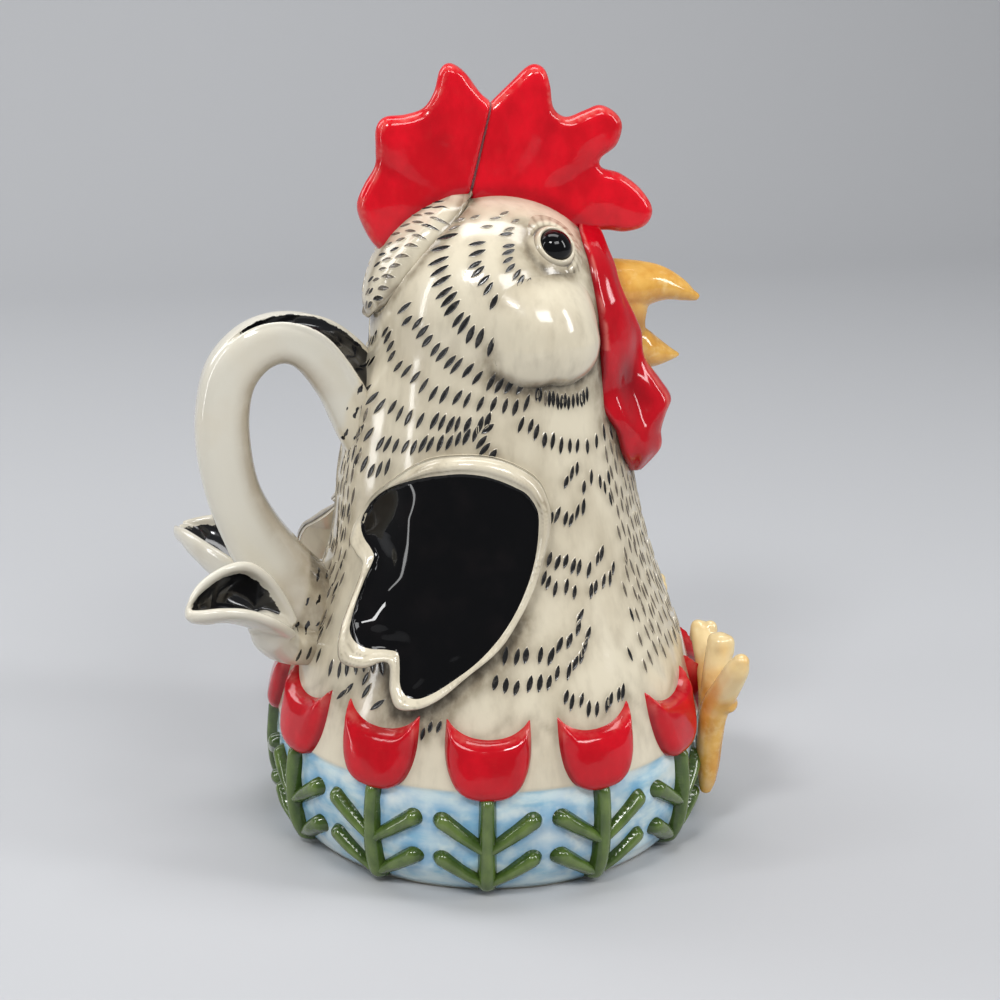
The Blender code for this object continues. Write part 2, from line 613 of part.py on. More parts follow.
def feather(name, stations):
    """A cup between two edges, closed towards its tip and its root."""
    rows = smooth_line(stations, 2, closed=False)
    turns = [math.radians(-90 + 180 * step / (FEATHER_ARC - 1)) for step in range(FEATHER_ARC)]
    middles = [(on_body(row[0:3]) + on_body(row[3:6])) / 2 for row in rows]
    rings = []
    for index, row in enumerate(rows):
        half = (on_body(row[3:6]) - on_body(row[0:3])) / 2
        along = middles[min(index + 1, len(rows) - 1)] - middles[max(index - 1, 0)]
        open_way = half.cross(along).normalized()
        thick = min(FEATHER_THICK, 1.5 * half.length)
        trim = half.normalized() * thick / 2
        middle, deep = middles[index], open_way * row[6]
        inner = [middle + (half - trim) * math.sin(a) - deep * math.cos(a) for a in turns]
        deep += open_way * thick
        outer = [middle + (half + trim) * math.sin(a) - deep * math.cos(a) for a in turns]
        rings.append(outer + inner[::-1])
    return mesh_object(name, rings)


stalk_stations = [(*on_body(row), row[3]) for row in TAIL_STALK]
stalk = as_cutter(tube("tail_stalk", stalk_stations, STALK_SIDES))
tail_feathers = [as_piece(feather("tail_feather_right", TAIL_RIGHT), "ivory_glaze"),
                 as_piece(feather("tail_feather_left", TAIL_LEFT), "ivory_glaze")]
boolean(tail_feathers[0], "UNION", stalk)
for tail_feather in tail_feathers:
    boolean(tail_feather, "DIFFERENCE", body_gap)
    boolean(tail_feather, "DIFFERENCE", handle_gap)

# Tulip border
tulip_loop = list(TULIP_HALF) + [(-side, height) for side, height in TULIP_HALF[-2:0:-1]]


def sprig_side():
    """One side of a stem with its two leaves, from the bottom up."""
    along = Vector((math.cos(LEAF_SLANT), math.sin(LEAF_SLANT)))
    over = Vector((-along.y, along.x)) * LEAF_WIDTH / 2
    half = STEM_WIDTH / 2
    rows = [Vector((half * 1.3, STEM_FOOT))]
    for start in LEAF_STARTS:
        root = Vector((0, start))
        tip = root + along * LEAF_LENGTH
        rows.append(Vector((half, start - over.y + (half + over.x) * math.tan(LEAF_SLANT))))
        for turn in (-90, 0, 90):
            angle = LEAF_SLANT + math.radians(turn)
            rows.append(tip + Vector((math.cos(angle), math.sin(angle))) * LEAF_WIDTH / 2)
        rows.append(Vector((half, start + over.y + (half - over.x) * math.tan(LEAF_SLANT))))
    rows.append(Vector((half, STEM_TOP)))
    return [tuple(row) for row in rows]


sprig_right = sprig_side()
sprig_loop = sprig_right + [(-side, height) for side, height in sprig_right[::-1]]


def grown(loop, amount):
    """An outline moved outwards by an amount."""
    rows = [Vector(row) for row in loop]
    turn = sum(a.cross(b) for a, b in zip(rows, rows[1:] + rows[:1]))
    moved = []
    for index, row in enumerate(rows):
        along = (rows[(index + 1) % len(rows)] - rows[index - 1]).normalized()
        normal = Vector((along.y, -along.x)) * (1 if turn > 0 else -1)
        moved.append(tuple(row + normal * amount))
    return moved


border_far = BODY_RADIUS + 5 * TULIP_THICK
tulip_shell = as_cutter(relief_shell("tulip_shell", TULIP_BAND, GAP, TULIP_THICK))
sprig_shell = as_cutter(relief_shell("sprig_shell", SPRIG_BAND, GAP, SPRIG_THICK))
for index in range(TULIP_COUNT):
    angle = TULIP_PHASE + index * 360 / TULIP_COUNT
    for kind, loop, shell, colour in (("tulip", tulip_loop, tulip_shell, "red_glaze"),
                                      ("sprig", sprig_loop, sprig_shell, "green_glaze")):
        relief = prism(f"{kind}_{index + 1:02d}", loop, outward(angle, border_far / 2, border_far))
        as_piece(relief, colour)
        boolean(relief, "INTERSECT", shell)

# Feet: three toes and a heel joined into one piece, relieved round the border behind it
foot_relief = bpy.data.collections.new("foot_relief")
cutters.children.link(foot_relief)
tulip_room = as_cutter(relief_shell("tulip_room", TULIP_BAND, -GAP, TULIP_THICK + GAP))
sprig_room = as_cutter(relief_shell("sprig_room", SPRIG_BAND, -GAP, SPRIG_THICK + GAP))
for angle in FOOT_NEIGHBOURS:
    for kind, loop, room in (("tulip", tulip_loop, tulip_room), ("sprig", sprig_loop, sprig_room)):
        reach = outward(angle, border_far / 2, border_far)
        space = as_cutter(prism(f"{kind}_space_{angle}", grown(loop, GAP), reach))
        boolean(space, "INTERSECT", room)
        foot_relief.objects.link(space)


def toe(name, stations, angle):
    """A tube given in the foot's own frame, turned to its place on the body. Left feet are mirrored."""
    turn = Matrix.Rotation(math.radians(angle), 3, "Z")
    hand = -math.copysign(1, angle)
    return tube(name, [(*(turn @ Vector((BODY_RADIUS + off, hand * side, height))), radius)
                       for off, side, height, radius in stations], FOOT_SIDES)


for name, angle in FOOT_ANGLES.items():
    foot = as_piece(toe(name, FOOT_OUTER, angle), "amber_glaze")
    for kind, stations in (("middle", FOOT_MIDDLE), ("inner", FOOT_INNER)):
        boolean(foot, "UNION", as_cutter(toe(f"{name}_{kind}_toe", stations, angle)))
    boolean(foot, "DIFFERENCE", body_gap)
    boolean(foot, "DIFFERENCE", foot_relief)

# Left-hand twins of the finished right-hand pieces
bpy.context.view_layer.update()
for piece in (eye, eye_ring, cheek, wattle, wing):
    mirrored(piece.name.replace("_right", "_left"), piece)
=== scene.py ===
"""Looks of the rooster teapot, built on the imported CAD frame.

The frame is the CAD's: +X out of the beak, +Y to the bird's left, +Z up. Lengths are millimetres until MM.
"""

import math
import random

import bpy
import numpy as np
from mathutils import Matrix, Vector, noise
from mathutils.geometry import delaunay_2d_cdt
from mathutils.kdtree import KDTree


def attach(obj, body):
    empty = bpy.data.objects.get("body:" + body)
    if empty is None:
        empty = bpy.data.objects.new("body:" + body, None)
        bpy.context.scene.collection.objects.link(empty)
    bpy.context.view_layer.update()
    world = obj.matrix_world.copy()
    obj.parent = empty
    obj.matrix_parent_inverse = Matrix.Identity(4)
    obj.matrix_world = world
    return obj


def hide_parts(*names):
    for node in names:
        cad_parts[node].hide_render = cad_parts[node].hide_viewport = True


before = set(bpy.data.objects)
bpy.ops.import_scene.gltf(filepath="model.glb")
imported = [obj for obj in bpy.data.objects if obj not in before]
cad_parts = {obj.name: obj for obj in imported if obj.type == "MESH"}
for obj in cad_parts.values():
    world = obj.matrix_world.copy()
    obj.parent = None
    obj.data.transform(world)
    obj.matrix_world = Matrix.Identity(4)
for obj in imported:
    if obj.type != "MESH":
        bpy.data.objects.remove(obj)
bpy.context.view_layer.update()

MM = 0.001
dice = random.Random(7)
scene = bpy.context.scene
scene.view_settings.view_transform = "Standard"

# Shared sizes of the CAD model
HEAD_R = 37.5
HEAD_Z = 165.0
HEAD = np.array((0.0, 0.0, HEAD_Z))
BODY_ROWS = ((0, 62.5), (3, 65.6), (10, 68.6), (20, 69.8), (32, 69.2), (45, 66.6), (60, 62.4), (75, 56.6),
             (90, 51.2), (105, 47.3), (120, 44.2), (135, 41.4), (150, 39.0), (158, 37.9))
SEAT = np.array((-22.793, 0.0, 184.813))
SEAT_ALONG = np.array((0.65606, 0.0, 0.75471))
SEAT_OUT = np.array((-0.75471, 0.0, 0.65606))
BAND_TOP = 35.6


# ---------------------------------------------------------------- mesh helpers

def curve(points, per_span, closed=False):
    """A smooth line through rows of numbers."""
    rows = np.array(points, float)
    count = len(rows)
    t = np.linspace(0, 1, per_span, endpoint=False)[:, None]
    parts = []
    for span in range(count if closed else count - 1):
        near = [span - 1, span, span + 1, span + 2]
        if closed:
            a, b, c, d = (rows[k % count] for k in near)
        else:
            a, b, c, d = (rows[min(max(k, 0), count - 1)] for k in near)
        parts.append(0.5 * (2 * b + (c - a) * t + (2 * a - 5 * b + 4 * c - d) * t**2
                            + (3 * b - a - 3 * c + d) * t**3))
    if not closed:
        parts.append(rows[-1:])
    return np.concatenate(parts)


def smoothstep(low, high, value):
    """0 up to low, 1 from high on, and smooth between them. low may be the larger one."""
    t = np.clip((np.asarray(value, float) - low) / (high - low), 0, 1)
    return t * t * (3 - 2 * t)


def unit(vectors):
    vectors = np.asarray(vectors, float)
    return vectors / np.maximum(np.linalg.norm(vectors, axis=-1, keepdims=True), 1e-9)


def bell(value, middle, width):
    """A smooth hump that is 1 at the middle."""
    return np.exp(-((value - middle) / width) ** 2)


def rounded(gap, width):
    """A quarter circle that rises from 0 at an edge to 1 at this width."""
    return np.sqrt(np.maximum(1 - (1 - np.clip(gap / width, 0, 1)) ** 2, 0))


def round_turn(count):
    """Even angles once round."""
    return np.linspace(0, 2 * math.pi, count, endpoint=False)


def axis_gap(points):
    """How far points lie from the Z axis."""
    return np.hypot(points[:, 0], points[:, 1])


def wander(points, size, seed=0.0):
    """Smooth noise between -1 and 1 at points in millimetres, with lumps of about this size."""
    shift = Vector((seed * 13.7, seed * 7.1, seed * 3.3))
    return np.array([noise.noise(Vector(p) / size + shift) for p in points])


def capped(rows):
    """Values for a loft's points from those of its rings, with 0 at the two middle points."""
    return np.concatenate([np.ravel(rows), [0, 0]])


def grid_faces(rows, columns, wrap):
    """Quads of a grid whose points are stored row by row."""
    i, j = np.meshgrid(np.arange(rows - 1), np.arange(columns if wrap else columns - 1), indexing="ij")
    k = (j + 1) % columns
    return np.stack([i * columns + j, i * columns + k, (i + 1) * columns + k, (i + 1) * columns + j],
                    -1).reshape(-1, 4)


def loft(rings):
    """Points and faces of a closed solid through rings, with a middle point at each end."""
    rings = np.asarray(rings, float)
    rows, columns = rings.shape[:2]
    points = np.concatenate([rings.reshape(-1, 3), rings[0].mean(0)[None], rings[-1].mean(0)[None]])
    faces = [tuple(f) for f in grid_faces(rows, columns, True)]
    first = rows * columns
    base = (rows - 1) * columns
    for j in range(columns):
        k = (j + 1) % columns
        faces.append((k, j, first))
        faces.append((base + j, base + k, first + 1))
    return points, faces


def outward(points, faces):
    """Faces turned so that the solid's volume is positive."""
    total = 0.0
    for face in faces:
        a = points[face[0]]
        for m in range(1, len(face) - 1):
            total += float(np.dot(a, np.cross(points[face[m]], points[face[m + 1]])))
    return faces if total > 0 else [tuple(face[::-1]) for face in faces]


def make(name, points, faces, materials=(), slots=None):
    """A smooth mesh object from points in millimetres. slots gives each face's material."""
    mesh = bpy.data.meshes.new(name)
    mesh.from_pydata((np.asarray(points) * MM).tolist(), [], [tuple(map(int, f)) for f in faces])
    for item in materials:
        mesh.materials.append(item)
    if slots is not None:
        mesh.polygons.foreach_set("material_index", np.asarray(slots, np.int32))
    mesh.shade_smooth()
    mesh.update()
    obj = bpy.data.objects.new(name, mesh)
    scene.collection.objects.link(obj)
    return obj


def solid(name, rings):
    """A closed mesh object through rings, to cut with."""
    points, faces = loft(rings)
    return make(name, points, outward(points, faces))


def places(obj):
    """The object's points in millimetres."""
    flat = np.empty(len(obj.data.vertices) * 3, np.float32)
    obj.data.vertices.foreach_get("co", flat)
    return flat.reshape(-1, 3).astype(float) / MM


def paint(obj, **layers):
    """A number for each point, or one for all, which the materials read by the layer's name."""
    for name, values in layers.items():
        values = np.broadcast_to(np.asarray(values, np.float32), len(obj.data.vertices))
        layer = obj.data.attributes.new(name, "FLOAT", "POINT")
        layer.data.foreach_set("value", np.ascontiguousarray(values))


def settle(obj):
    """Applies the object's modifiers to its mesh."""
    graph = bpy.context.evaluated_depsgraph_get()
    mesh = bpy.data.meshes.new_from_object(obj.evaluated_get(graph))
    obj.modifiers.clear()
    old = obj.data
    obj.data = mesh
    bpy.data.meshes.remove(old)


def carve(obj, *tools):
    """Cuts closed meshes out of a piece, then removes them."""
    for tool in tools:
        step = obj.modifiers.new("carve", "BOOLEAN")
        step.operation = "DIFFERENCE"
        step.solver = "MANIFOLD"
        step.object = tool
    bpy.context.view_layer.update()
    settle(obj)
    for tool in tools:
        bpy.data.objects.remove(tool, do_unlink=True)


def ease(obj, rounds):
    """Smooths a piece and applies its modifiers."""
    step = obj.modifiers.new("ease", "SMOOTH")
    step.factor = 0.5
    step.iterations = rounds
    bpy.context.view_layer.update()
    settle(obj)


def fuse(obj, voxel, rounds):
    """Melts overlapping solids into one skin."""
    step = obj.modifiers.new("melt", "REMESH")
    step.mode = "VOXEL"
    step.voxel_size = voxel * MM
    step.use_smooth_shade = True
    ease(obj, rounds)


def coat(obj, material):
    """One material and smooth shading for a piece whose mesh was made anew."""
    obj.data.materials.clear()
    obj.data.materials.append(material)
    obj.data.shade_smooth()


def join(parts):
    """Several closed shells as one list of points and faces."""
    points, faces = [], []
    start = 0
    for shell_points, shell_faces in parts:
        points.append(shell_points)
        faces += [tuple(start + k for k in f) for f in shell_faces]
        start += len(shell_points)
    return np.concatenate(points), faces


def mirrored(points, faces):
    """The same shape on the bird's other side."""
    flipped = np.array(points, float) * (1, -1, 1)
    return flipped, [tuple(face[::-1]) for face in faces]


def sides(points, faces):
    """A shape on the bird's right as it is given, then its mirror image on the left."""
    yield "right", points, faces
    yield "left", *mirrored(points, faces)


def piece(obj, body, slot, *nodes):
    """Attaches a piece to the body it rides on and hides the CAD nodes that it stands for. slot, its finish,
    is not used.
    """
    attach(obj, body)
    if nodes:
        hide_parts(*nodes)


def tree_of(points):
    """A search tree that finds the points nearest to a place."""
    tree = KDTree(len(points))
    for index, spot in enumerate(points):
        tree.insert(Vector(spot), index)
    tree.balance()
    return tree


def edge_distance(points, line, closed=True):
    """The distance of flat points from an outline."""
    a = line if closed else line[:-1]
    b = np.roll(line, -1, axis=0) if closed else line[1:]
    span = b - a
    rel = points[:, None, :] - a[None]
    t = np.clip((rel * span).sum(2) / np.maximum((span * span).sum(1), 1e-9), 0, 1)
    return np.sqrt(((rel - t[..., None] * span) ** 2).sum(2).min(1))


def resample(line, step, closed=True):
    """Points at even steps along an outline."""
    if closed:
        line = np.vstack([line, line[:1]])
    far = np.concatenate([[0], np.cumsum(np.linalg.norm(np.diff(line, axis=0), axis=1))])
    count = max(8, int(far[-1] / step))
    at = np.linspace(0, far[-1], count, endpoint=not closed)
    return np.stack([np.interp(at, far, line[:, k]) for k in range(line.shape[1])], 1)


def inside(points, loop):
    """Which flat points lie within an outline."""
    x, y = points[:, 0][:, None], points[:, 1][:, None]
    x0, y0 = loop[:, 0], loop[:, 1]
    x1, y1 = np.roll(x0, -1), np.roll(y0, -1)
    crosses = (y0 > y) != (y1 > y)
    level = np.where(y1 == y0, 1e-9, y1 - y0)
    return (crosses & (x < (x1 - x0) * (y - y0) / level + x0)).sum(1) % 2 == 1


def shrunk(loop, by):
    """The outline moved inwards."""
    ahead = unit(np.roll(loop, -1, 0) - np.roll(loop, 1, 0))
    inward = np.stack([-ahead[:, 1], ahead[:, 0]], 1)
    turning = np.sum(loop[:, 0] * np.roll(loop[:, 1], -1) - np.roll(loop[:, 0], -1) * loop[:, 1])
    moved = loop + inward * by * math.copysign(1, turning)
    return moved[edge_distance(moved, loop) > by * 0.9]


def flat_mesh(loop, step, inner_loops=()):
    """Triangles over an outline, with a point about every step and on the inner lines.

    The outline's own points come first.
    """
    low, high = loop.min(0), loop.max(0)
    xs = np.arange(low[0], high[0], step)
    ys = np.arange(low[1], high[1], step * 0.866)
    grid = np.array([(x + (row % 2) * step / 2, y) for row, y in enumerate(ys) for x in xs])
    keep = inside(grid, loop) & (edge_distance(grid, loop) > step * 0.55)
    for inner in inner_loops:
        keep &= edge_distance(grid, inner) > step * 0.55
    points = [loop]
    edges = [(k, (k + 1) % len(loop)) for k in range(len(loop))]
    start = len(loop)
    for inner in inner_loops:
        points.append(inner)
        edges += [(start + k, start + (k + 1) % len(inner)) for k in range(len(inner))]
        start += len(inner)
    points.append(grid[keep])
    flat = np.concatenate(points)
    out, _, faces, *_ = delaunay_2d_cdt([Vector(p) for p in flat], edges, [], 1, 1e-5)
    return np.array([tuple(p) for p in out]), [tuple(f) for f in faces]


# ---------------------------------------------------------------- the turned surface

def head_arc(radius, angles):
    """Radius and height along a ball round the head's middle."""
    return [(radius * math.cos(math.radians(a)), HEAD_Z + radius * math.sin(math.radians(a))) for a in angles]


profile = curve([(r, z) for z, r in BODY_ROWS] + head_arc(HEAD_R, range(0, 91, 6)), 14)
profile[-1] = (0.0, HEAD_Z + HEAD_R)
run = np.concatenate([[0], np.cumsum(np.hypot(*np.diff(profile, axis=0).T))])
FULL = run[-1]


def step_in(height):
    """The blue band lies a little below the cream glaze above it."""
    return -0.7 * (1 - smoothstep(BAND_TOP - 0.9, BAND_TOP + 0.9, height))


def radius_at(height):
    return np.interp(height, profile[:, 1], profile[:, 0])


def off_body(points):
    """How far points stand off the plain turned body, measured level."""
    return axis_gap(points) - radius_at(points[:, 2])


def swell(azimuth, height):
    """The back stands a little proud round the handle's upper root."""
    off_back = np.abs(np.degrees(azimuth) % 360 - 180)
    return 3.2 * smoothstep(31, 14, off_back) * smoothstep(88, 120, height) * smoothstep(160, 138, height)


def run_at(height):
    return np.interp(height, profile[:, 1], run)


def surface(azimuth, along, off):
    """Points on the body from an angle in degrees, a distance up the profile and a height off it."""
    azimuth = np.radians(np.asarray(azimuth, float))
    along = np.clip(np.asarray(along, float), 0, FULL)
    r = np.interp(along, run, profile[:, 0])
    z = np.interp(along, run, profile[:, 1])
    ahead, back = np.clip(along + 1.5, 0, FULL), np.clip(along - 1.5, 0, FULL)
    dr = np.interp(ahead, run, profile[:, 0]) - np.interp(back, run, profile[:, 0])
    dz = np.interp(ahead, run, profile[:, 1]) - np.interp(back, run, profile[:, 1])
    size = np.hypot(dr, dz)
    nr, nz = dz / size, -dr / size
    base = np.stack([r * np.cos(azimuth), r * np.sin(azimuth), z], -1)
    lumps = 0.4 * wander(base, 34.0) + 0.16 * wander(base, 13.0, 2.0)
    push = off + step_in(z) + lumps * smoothstep(2, 12, z) + swell(azimuth, z)
    brushed = smoothstep(BAND_TOP, BAND_TOP - 4, z) * smoothstep(2, 8, z)
    push = push + 0.5 * wander(base * (0.5, 0.5, 1.6), 7.0, 9.0) * brushed
    out = np.stack([nr * np.cos(azimuth), nr * np.sin(azimuth), nz], -1)
    return base + out * push[..., None]


def turned(rows, steps):
    """A closed solid turned about Z from rows of radius and height, from pole to pole."""
    return loft([[(r * math.cos(a), r * math.sin(a), z) for a in round_turn(steps)] for r, z in rows])


def facing(flat, far, turn):
    """Places this far from the axis, from sideways distance and height on a plane that faces out."""
    side, height = flat[:, 0], flat[:, 1]
    x = np.sqrt(far**2 - side**2)
    c, s = math.cos(turn), math.sin(turn)
    return np.stack([c * x - s * side, s * x + c * side, height], 1)


# ---------------------------------------------------------------- materials

class Glaze:
    """A glossy ceramic glaze, coloured by the nodes that its methods add."""

    def __init__(self, name, roughness, coat=0.35):
        self.material = bpy.data.materials.new(name)
        self.material.use_nodes = True
        tree = self.material.node_tree
        self.nodes, self.links = tree.nodes, tree.links
        self.shader = tree.nodes["Principled BSDF"]
        self.shader.inputs["Roughness"].default_value = roughness
        self.shader.inputs["IOR"].default_value = 1.5
        self.shader.inputs["Coat Weight"].default_value = coat
        self.shader.inputs["Coat Roughness"].default_value = 0.04
        self.where = tree.nodes.new("ShaderNodeTexCoord").outputs["Object"]

    def wire(self, value, socket):
        if isinstance(value, bpy.types.NodeSocket):
            self.links.new(value, socket)
        else:
            socket.default_value = value

    def speckle(self, size, detail, stretch=(1, 1, 1), seed=0.0):
        """Noise with lumps of about this size in millimetres."""
        place = self.nodes.new("ShaderNodeMapping")
        place.inputs["Location"].default_value = (seed, seed * 0.7, seed * 0.3)
        place.inputs["Scale"].default_value = stretch
        self.links.new(self.where, place.inputs["Vector"])
        node = self.nodes.new("ShaderNodeTexNoise")
        node.inputs["Scale"].default_value = 1 / (size * MM)
        node.inputs["Detail"].default_value = detail
        node.inputs["Roughness"].default_value = 0.55
        self.links.new(place.outputs["Vector"], node.inputs["Vector"])
        return node.outputs["Fac"]

    def painted(self, name):
        """A layer that paint() gave the piece."""
        node = self.nodes.new("ShaderNodeAttribute")
        node.attribute_name = name
        return node.outputs["Fac"]

    def ease(self, value, low, high, to_low=0.0, to_high=1.0):
        """The value mapped smoothly from one range to another."""
        node = self.nodes.new("ShaderNodeMapRange")
        node.interpolation_type = "SMOOTHSTEP"
        self.wire(value, node.inputs["Value"])
        for key, number in (("From Min", low), ("From Max", high), ("To Min", to_low), ("To Max", to_high)):
            node.inputs[key].default_value = number
        return node.outputs["Result"]

    def calc(self, operation, a, b):
        node = self.nodes.new("ShaderNodeMath")
        node.operation = operation
        node.use_clamp = operation in ("ADD", "MULTIPLY")
        self.wire(a, node.inputs[0])
        self.wire(b, node.inputs[1])
        return node.outputs["Value"]

    def mix(self, share, a, b, strength=None):
        """Colour a with this share of colour b over it. strength lowers the share."""
        if strength is not None:
            share = self.calc("MULTIPLY", share, strength)
        node = self.nodes.new("ShaderNodeMix")
        node.data_type = "RGBA"
        self.wire(share, node.inputs[0])
        for value, socket in ((a, node.inputs[6]), (b, node.inputs[7])):
            self.wire(value if isinstance(value, bpy.types.NodeSocket) else (*value, 1), socket)
        return node.outputs[2]

    def colour(self, value):
        self.wire(value, self.shader.inputs["Base Color"])

    def bump(self, height, depth):
        node = self.nodes.new("ShaderNodeBump")
        node.inputs["Strength"].default_value = 1.0
        node.inputs["Distance"].default_value = depth * MM
        self.links.new(height, node.inputs["Height"])
        self.links.new(node.outputs["Normal"], self.shader.inputs["Normal"])


CREAM = (0.75, 0.68, 0.525)
IVORY = (0.72, 0.685, 0.585)
WASH_AND_SHADE = (0.19, 0.145, 0.088)
DARK = (0.03, 0.024, 0.018)
INK = (0.006, 0.006, 0.007)


def cream_colour(g):
    """Cream glaze with a cloudy grey-brown wash, darker where wash and painted shade are laid: glaze wash in
    the hollows, painted shade in creases, under overhangs and between parts.
    """
    cloud = g.ease(g.speckle(19.0, 5.0, (1, 1, 0.45)), 0.40, 0.68)
    fine = g.ease(g.speckle(4.5, 4.0, (1, 1, 0.33), 3.0), 0.44, 0.74)
    tone = g.mix(cloud, CREAM, (0.40, 0.33, 0.22), 0.38)
    tone = g.mix(fine, tone, WASH_AND_SHADE, 0.18)
    # The painted layer holds glaze wash and painted shade
    wash = g.painted("wash")
    patchy = g.ease(g.speckle(4.0, 5.0, (1, 1, 0.7), 8.0), 0.25, 0.7, 0.45, 1.0)
    soft = g.calc("MULTIPLY", g.ease(wash, 0.05, 0.75), patchy)
    tone = g.mix(soft, tone, WASH_AND_SHADE, 0.85)
    # Its strongest values, mostly painted shade in creases and under overhangs, go towards DARK
    deep = g.calc("MULTIPLY", g.ease(wash, 0.62, 1.0), patchy)
    return g.mix(deep, tone, DARK, 0.85)


def cream_glaze():
    g = Glaze("cream_crackle", 0.16)
    tone = cream_colour(g)
    streak = g.ease(g.speckle(7.0, 4.0, (0.6, 0.6, 1.9), 5.0), 0.35, 0.72)
    patch = g.ease(g.speckle(15.0, 3.0, (0.7, 0.7, 1.2), 1.0), 0.40, 0.66)
    blue = g.mix(streak, (0.64, 0.77, 0.78), (0.30, 0.55, 0.69))
    blue = g.mix(patch, blue, (0.77, 0.82, 0.79), 0.75)
    pool = g.calc("MULTIPLY", g.painted("pool"), g.ease(g.speckle(9.0, 3.0, (1, 1, 1), 4.0), 0.36, 0.62))
    blue = g.mix(pool, blue, (0.09, 0.34, 0.60), 0.85)
    g.colour(g.mix(g.painted("band"), tone, blue))
    g.bump(g.speckle(3.0, 3.0), 0.06)
    return g.material


def ivory_glaze():
    g = Glaze("ivory_glaze_soft", 0.13)
    cloud = g.ease(g.speckle(18.0, 4.0), 0.42, 0.72)
    tone = g.mix(cloud, IVORY, (0.66, 0.58, 0.44), 0.30)
    # Darker where painted shade is laid: the handle's inner face and the roots, with wash and darker patches
    # at random
    soft = g.calc("MULTIPLY", g.painted("wash"), g.ease(g.speckle(6.0, 4.0, seed=2.0), 0.2, 0.65, 0.55, 1.0))
    tone = g.mix(soft, tone, (0.36, 0.28, 0.18), 0.9)
    brush = g.ease(g.speckle(2.4, 4.0, (1, 1, 1), 7.0), 0.3, 0.7, -0.25, 0.25)
    mark = g.ease(g.calc("ADD", g.painted("ink"), brush), 0.42, 0.58)
    tone = g.mix(g.painted("root"), tone, cream_colour(g))
    g.colour(g.mix(mark, tone, INK))
    g.bump(g.speckle(4.0, 3.0), 0.08)
    return g.material


def red_glaze():
    g = Glaze("red_glaze_mottled", 0.10, 0.10)
    g.shader.inputs["IOR"].default_value = 1.42
    cloud = g.ease(g.speckle(9.0, 5.0, (1, 1, 0.7)), 0.36, 0.70)
    tone = g.mix(cloud, (0.60, 0.002, 0.010), (0.78, 0.004, 0.016))
    fine = g.ease(g.speckle(2.6, 4.0, (1, 1, 0.6), 2.0), 0.5, 0.75)
    tone = g.mix(fine, tone, (0.66, 0.02, 0.022), 0.22)
    # Darker where wash and painted shade are laid: in hollows, valleys and pits and at the pieces' feet
    hollow = g.painted("wash")
    tone = g.mix(hollow, tone, (0.15, 0.002, 0.006), 0.8)
    # Pale thin glaze and painted highlight along edges and ridges
    thin = g.calc("MULTIPLY", g.painted("thin"), g.ease(g.speckle(5.0, 3.0, seed=6.0), 0.34, 0.6))
    g.colour(g.mix(thin, tone, (0.74, 0.27, 0.22), 0.45))
    g.bump(g.speckle(6.0, 2.0), 0.10)
    return g.material


def black_glaze():
    g = Glaze("black_glaze_deep", 0.05, 0.0)
    g.shader.inputs["IOR"].default_value = 1.36
    cloud = g.ease(g.speckle(12.0, 3.0), 0.45, 0.75)
    tone = g.mix(cloud, (0.002, 0.002, 0.0025), (0.005, 0.004, 0.0045))
    thin = g.calc("MULTIPLY", g.painted("thin"), g.ease(g.speckle(1.6, 4.0, (1, 1, 1), 3.0), 0.42, 0.66))
    g.colour(g.mix(thin, tone, (0.30, 0.27, 0.22), 0.8))
    g.bump(g.speckle(10.0, 1.0), 0.10)
    return g.material


def amber_glaze():
    g = Glaze("amber_glaze_pooled", 0.13)
    cloud = g.ease(g.speckle(7.0, 4.0), 0.36, 0.70)
    tone = g.mix(cloud, (0.80, 0.46, 0.10), (0.66, 0.32, 0.05))
    pale = g.ease(g.speckle(4.0, 4.0, seed=4.0), 0.52, 0.74)
    tone = g.mix(pale, tone, (0.90, 0.68, 0.30), 0.45)
    tone = g.mix(g.painted("pale"), tone, (0.90, 0.77, 0.46), 0.75)
    # Darker where painted shade is laid: the mouth, the beak's root, the leg's groove and against the body,
    # plus darker patches at random
    tone = g.mix(g.painted("wash"), tone, (0.34, 0.125, 0.018), 0.9)
    g.colour(tone)
    g.bump(g.speckle(4.0, 3.0), 0.10)
    return g.material


def green_glaze():
    g = Glaze("green_glaze_olive", 0.16)
    cloud = g.ease(g.speckle(4.5, 4.0, (1, 1, 0.6)), 0.36, 0.70)
    tone = g.mix(cloud, (0.05, 0.095, 0.016), (0.10, 0.165, 0.030))
    # Pale thin glaze and painted highlight on the tops of the stems and leaves, painted shade along their
    # edges
    tone = g.mix(g.painted("thin"), tone, (0.22, 0.29, 0.085), 0.6)
    tone = g.mix(g.painted("wash"), tone, (0.016, 0.040, 0.010), 0.85)
    g.colour(tone)
    g.bump(g.speckle(3.0, 3.0), 0.08)
    return g.material


def ink(name, dark, light):
    g = Glaze(name, 0.18)
    g.colour(g.mix(g.ease(g.speckle(1.5, 4.0), 0.45, 0.75), dark, light))
    return g.material


cream = cream_glaze()
ivory = ivory_glaze()
red = red_glaze()
black = black_glaze()
amber = amber_glaze()
green = green_glaze()
bold_ink = ink("tick_ink", (0.008, 0.008, 0.008), (0.05, 0.045, 0.04))
faint_ink = ink("tick_wash", (0.12, 0.10, 0.075), (0.28, 0.235, 0.18))

# ---------------------------------------------------------------- wings: outline and place

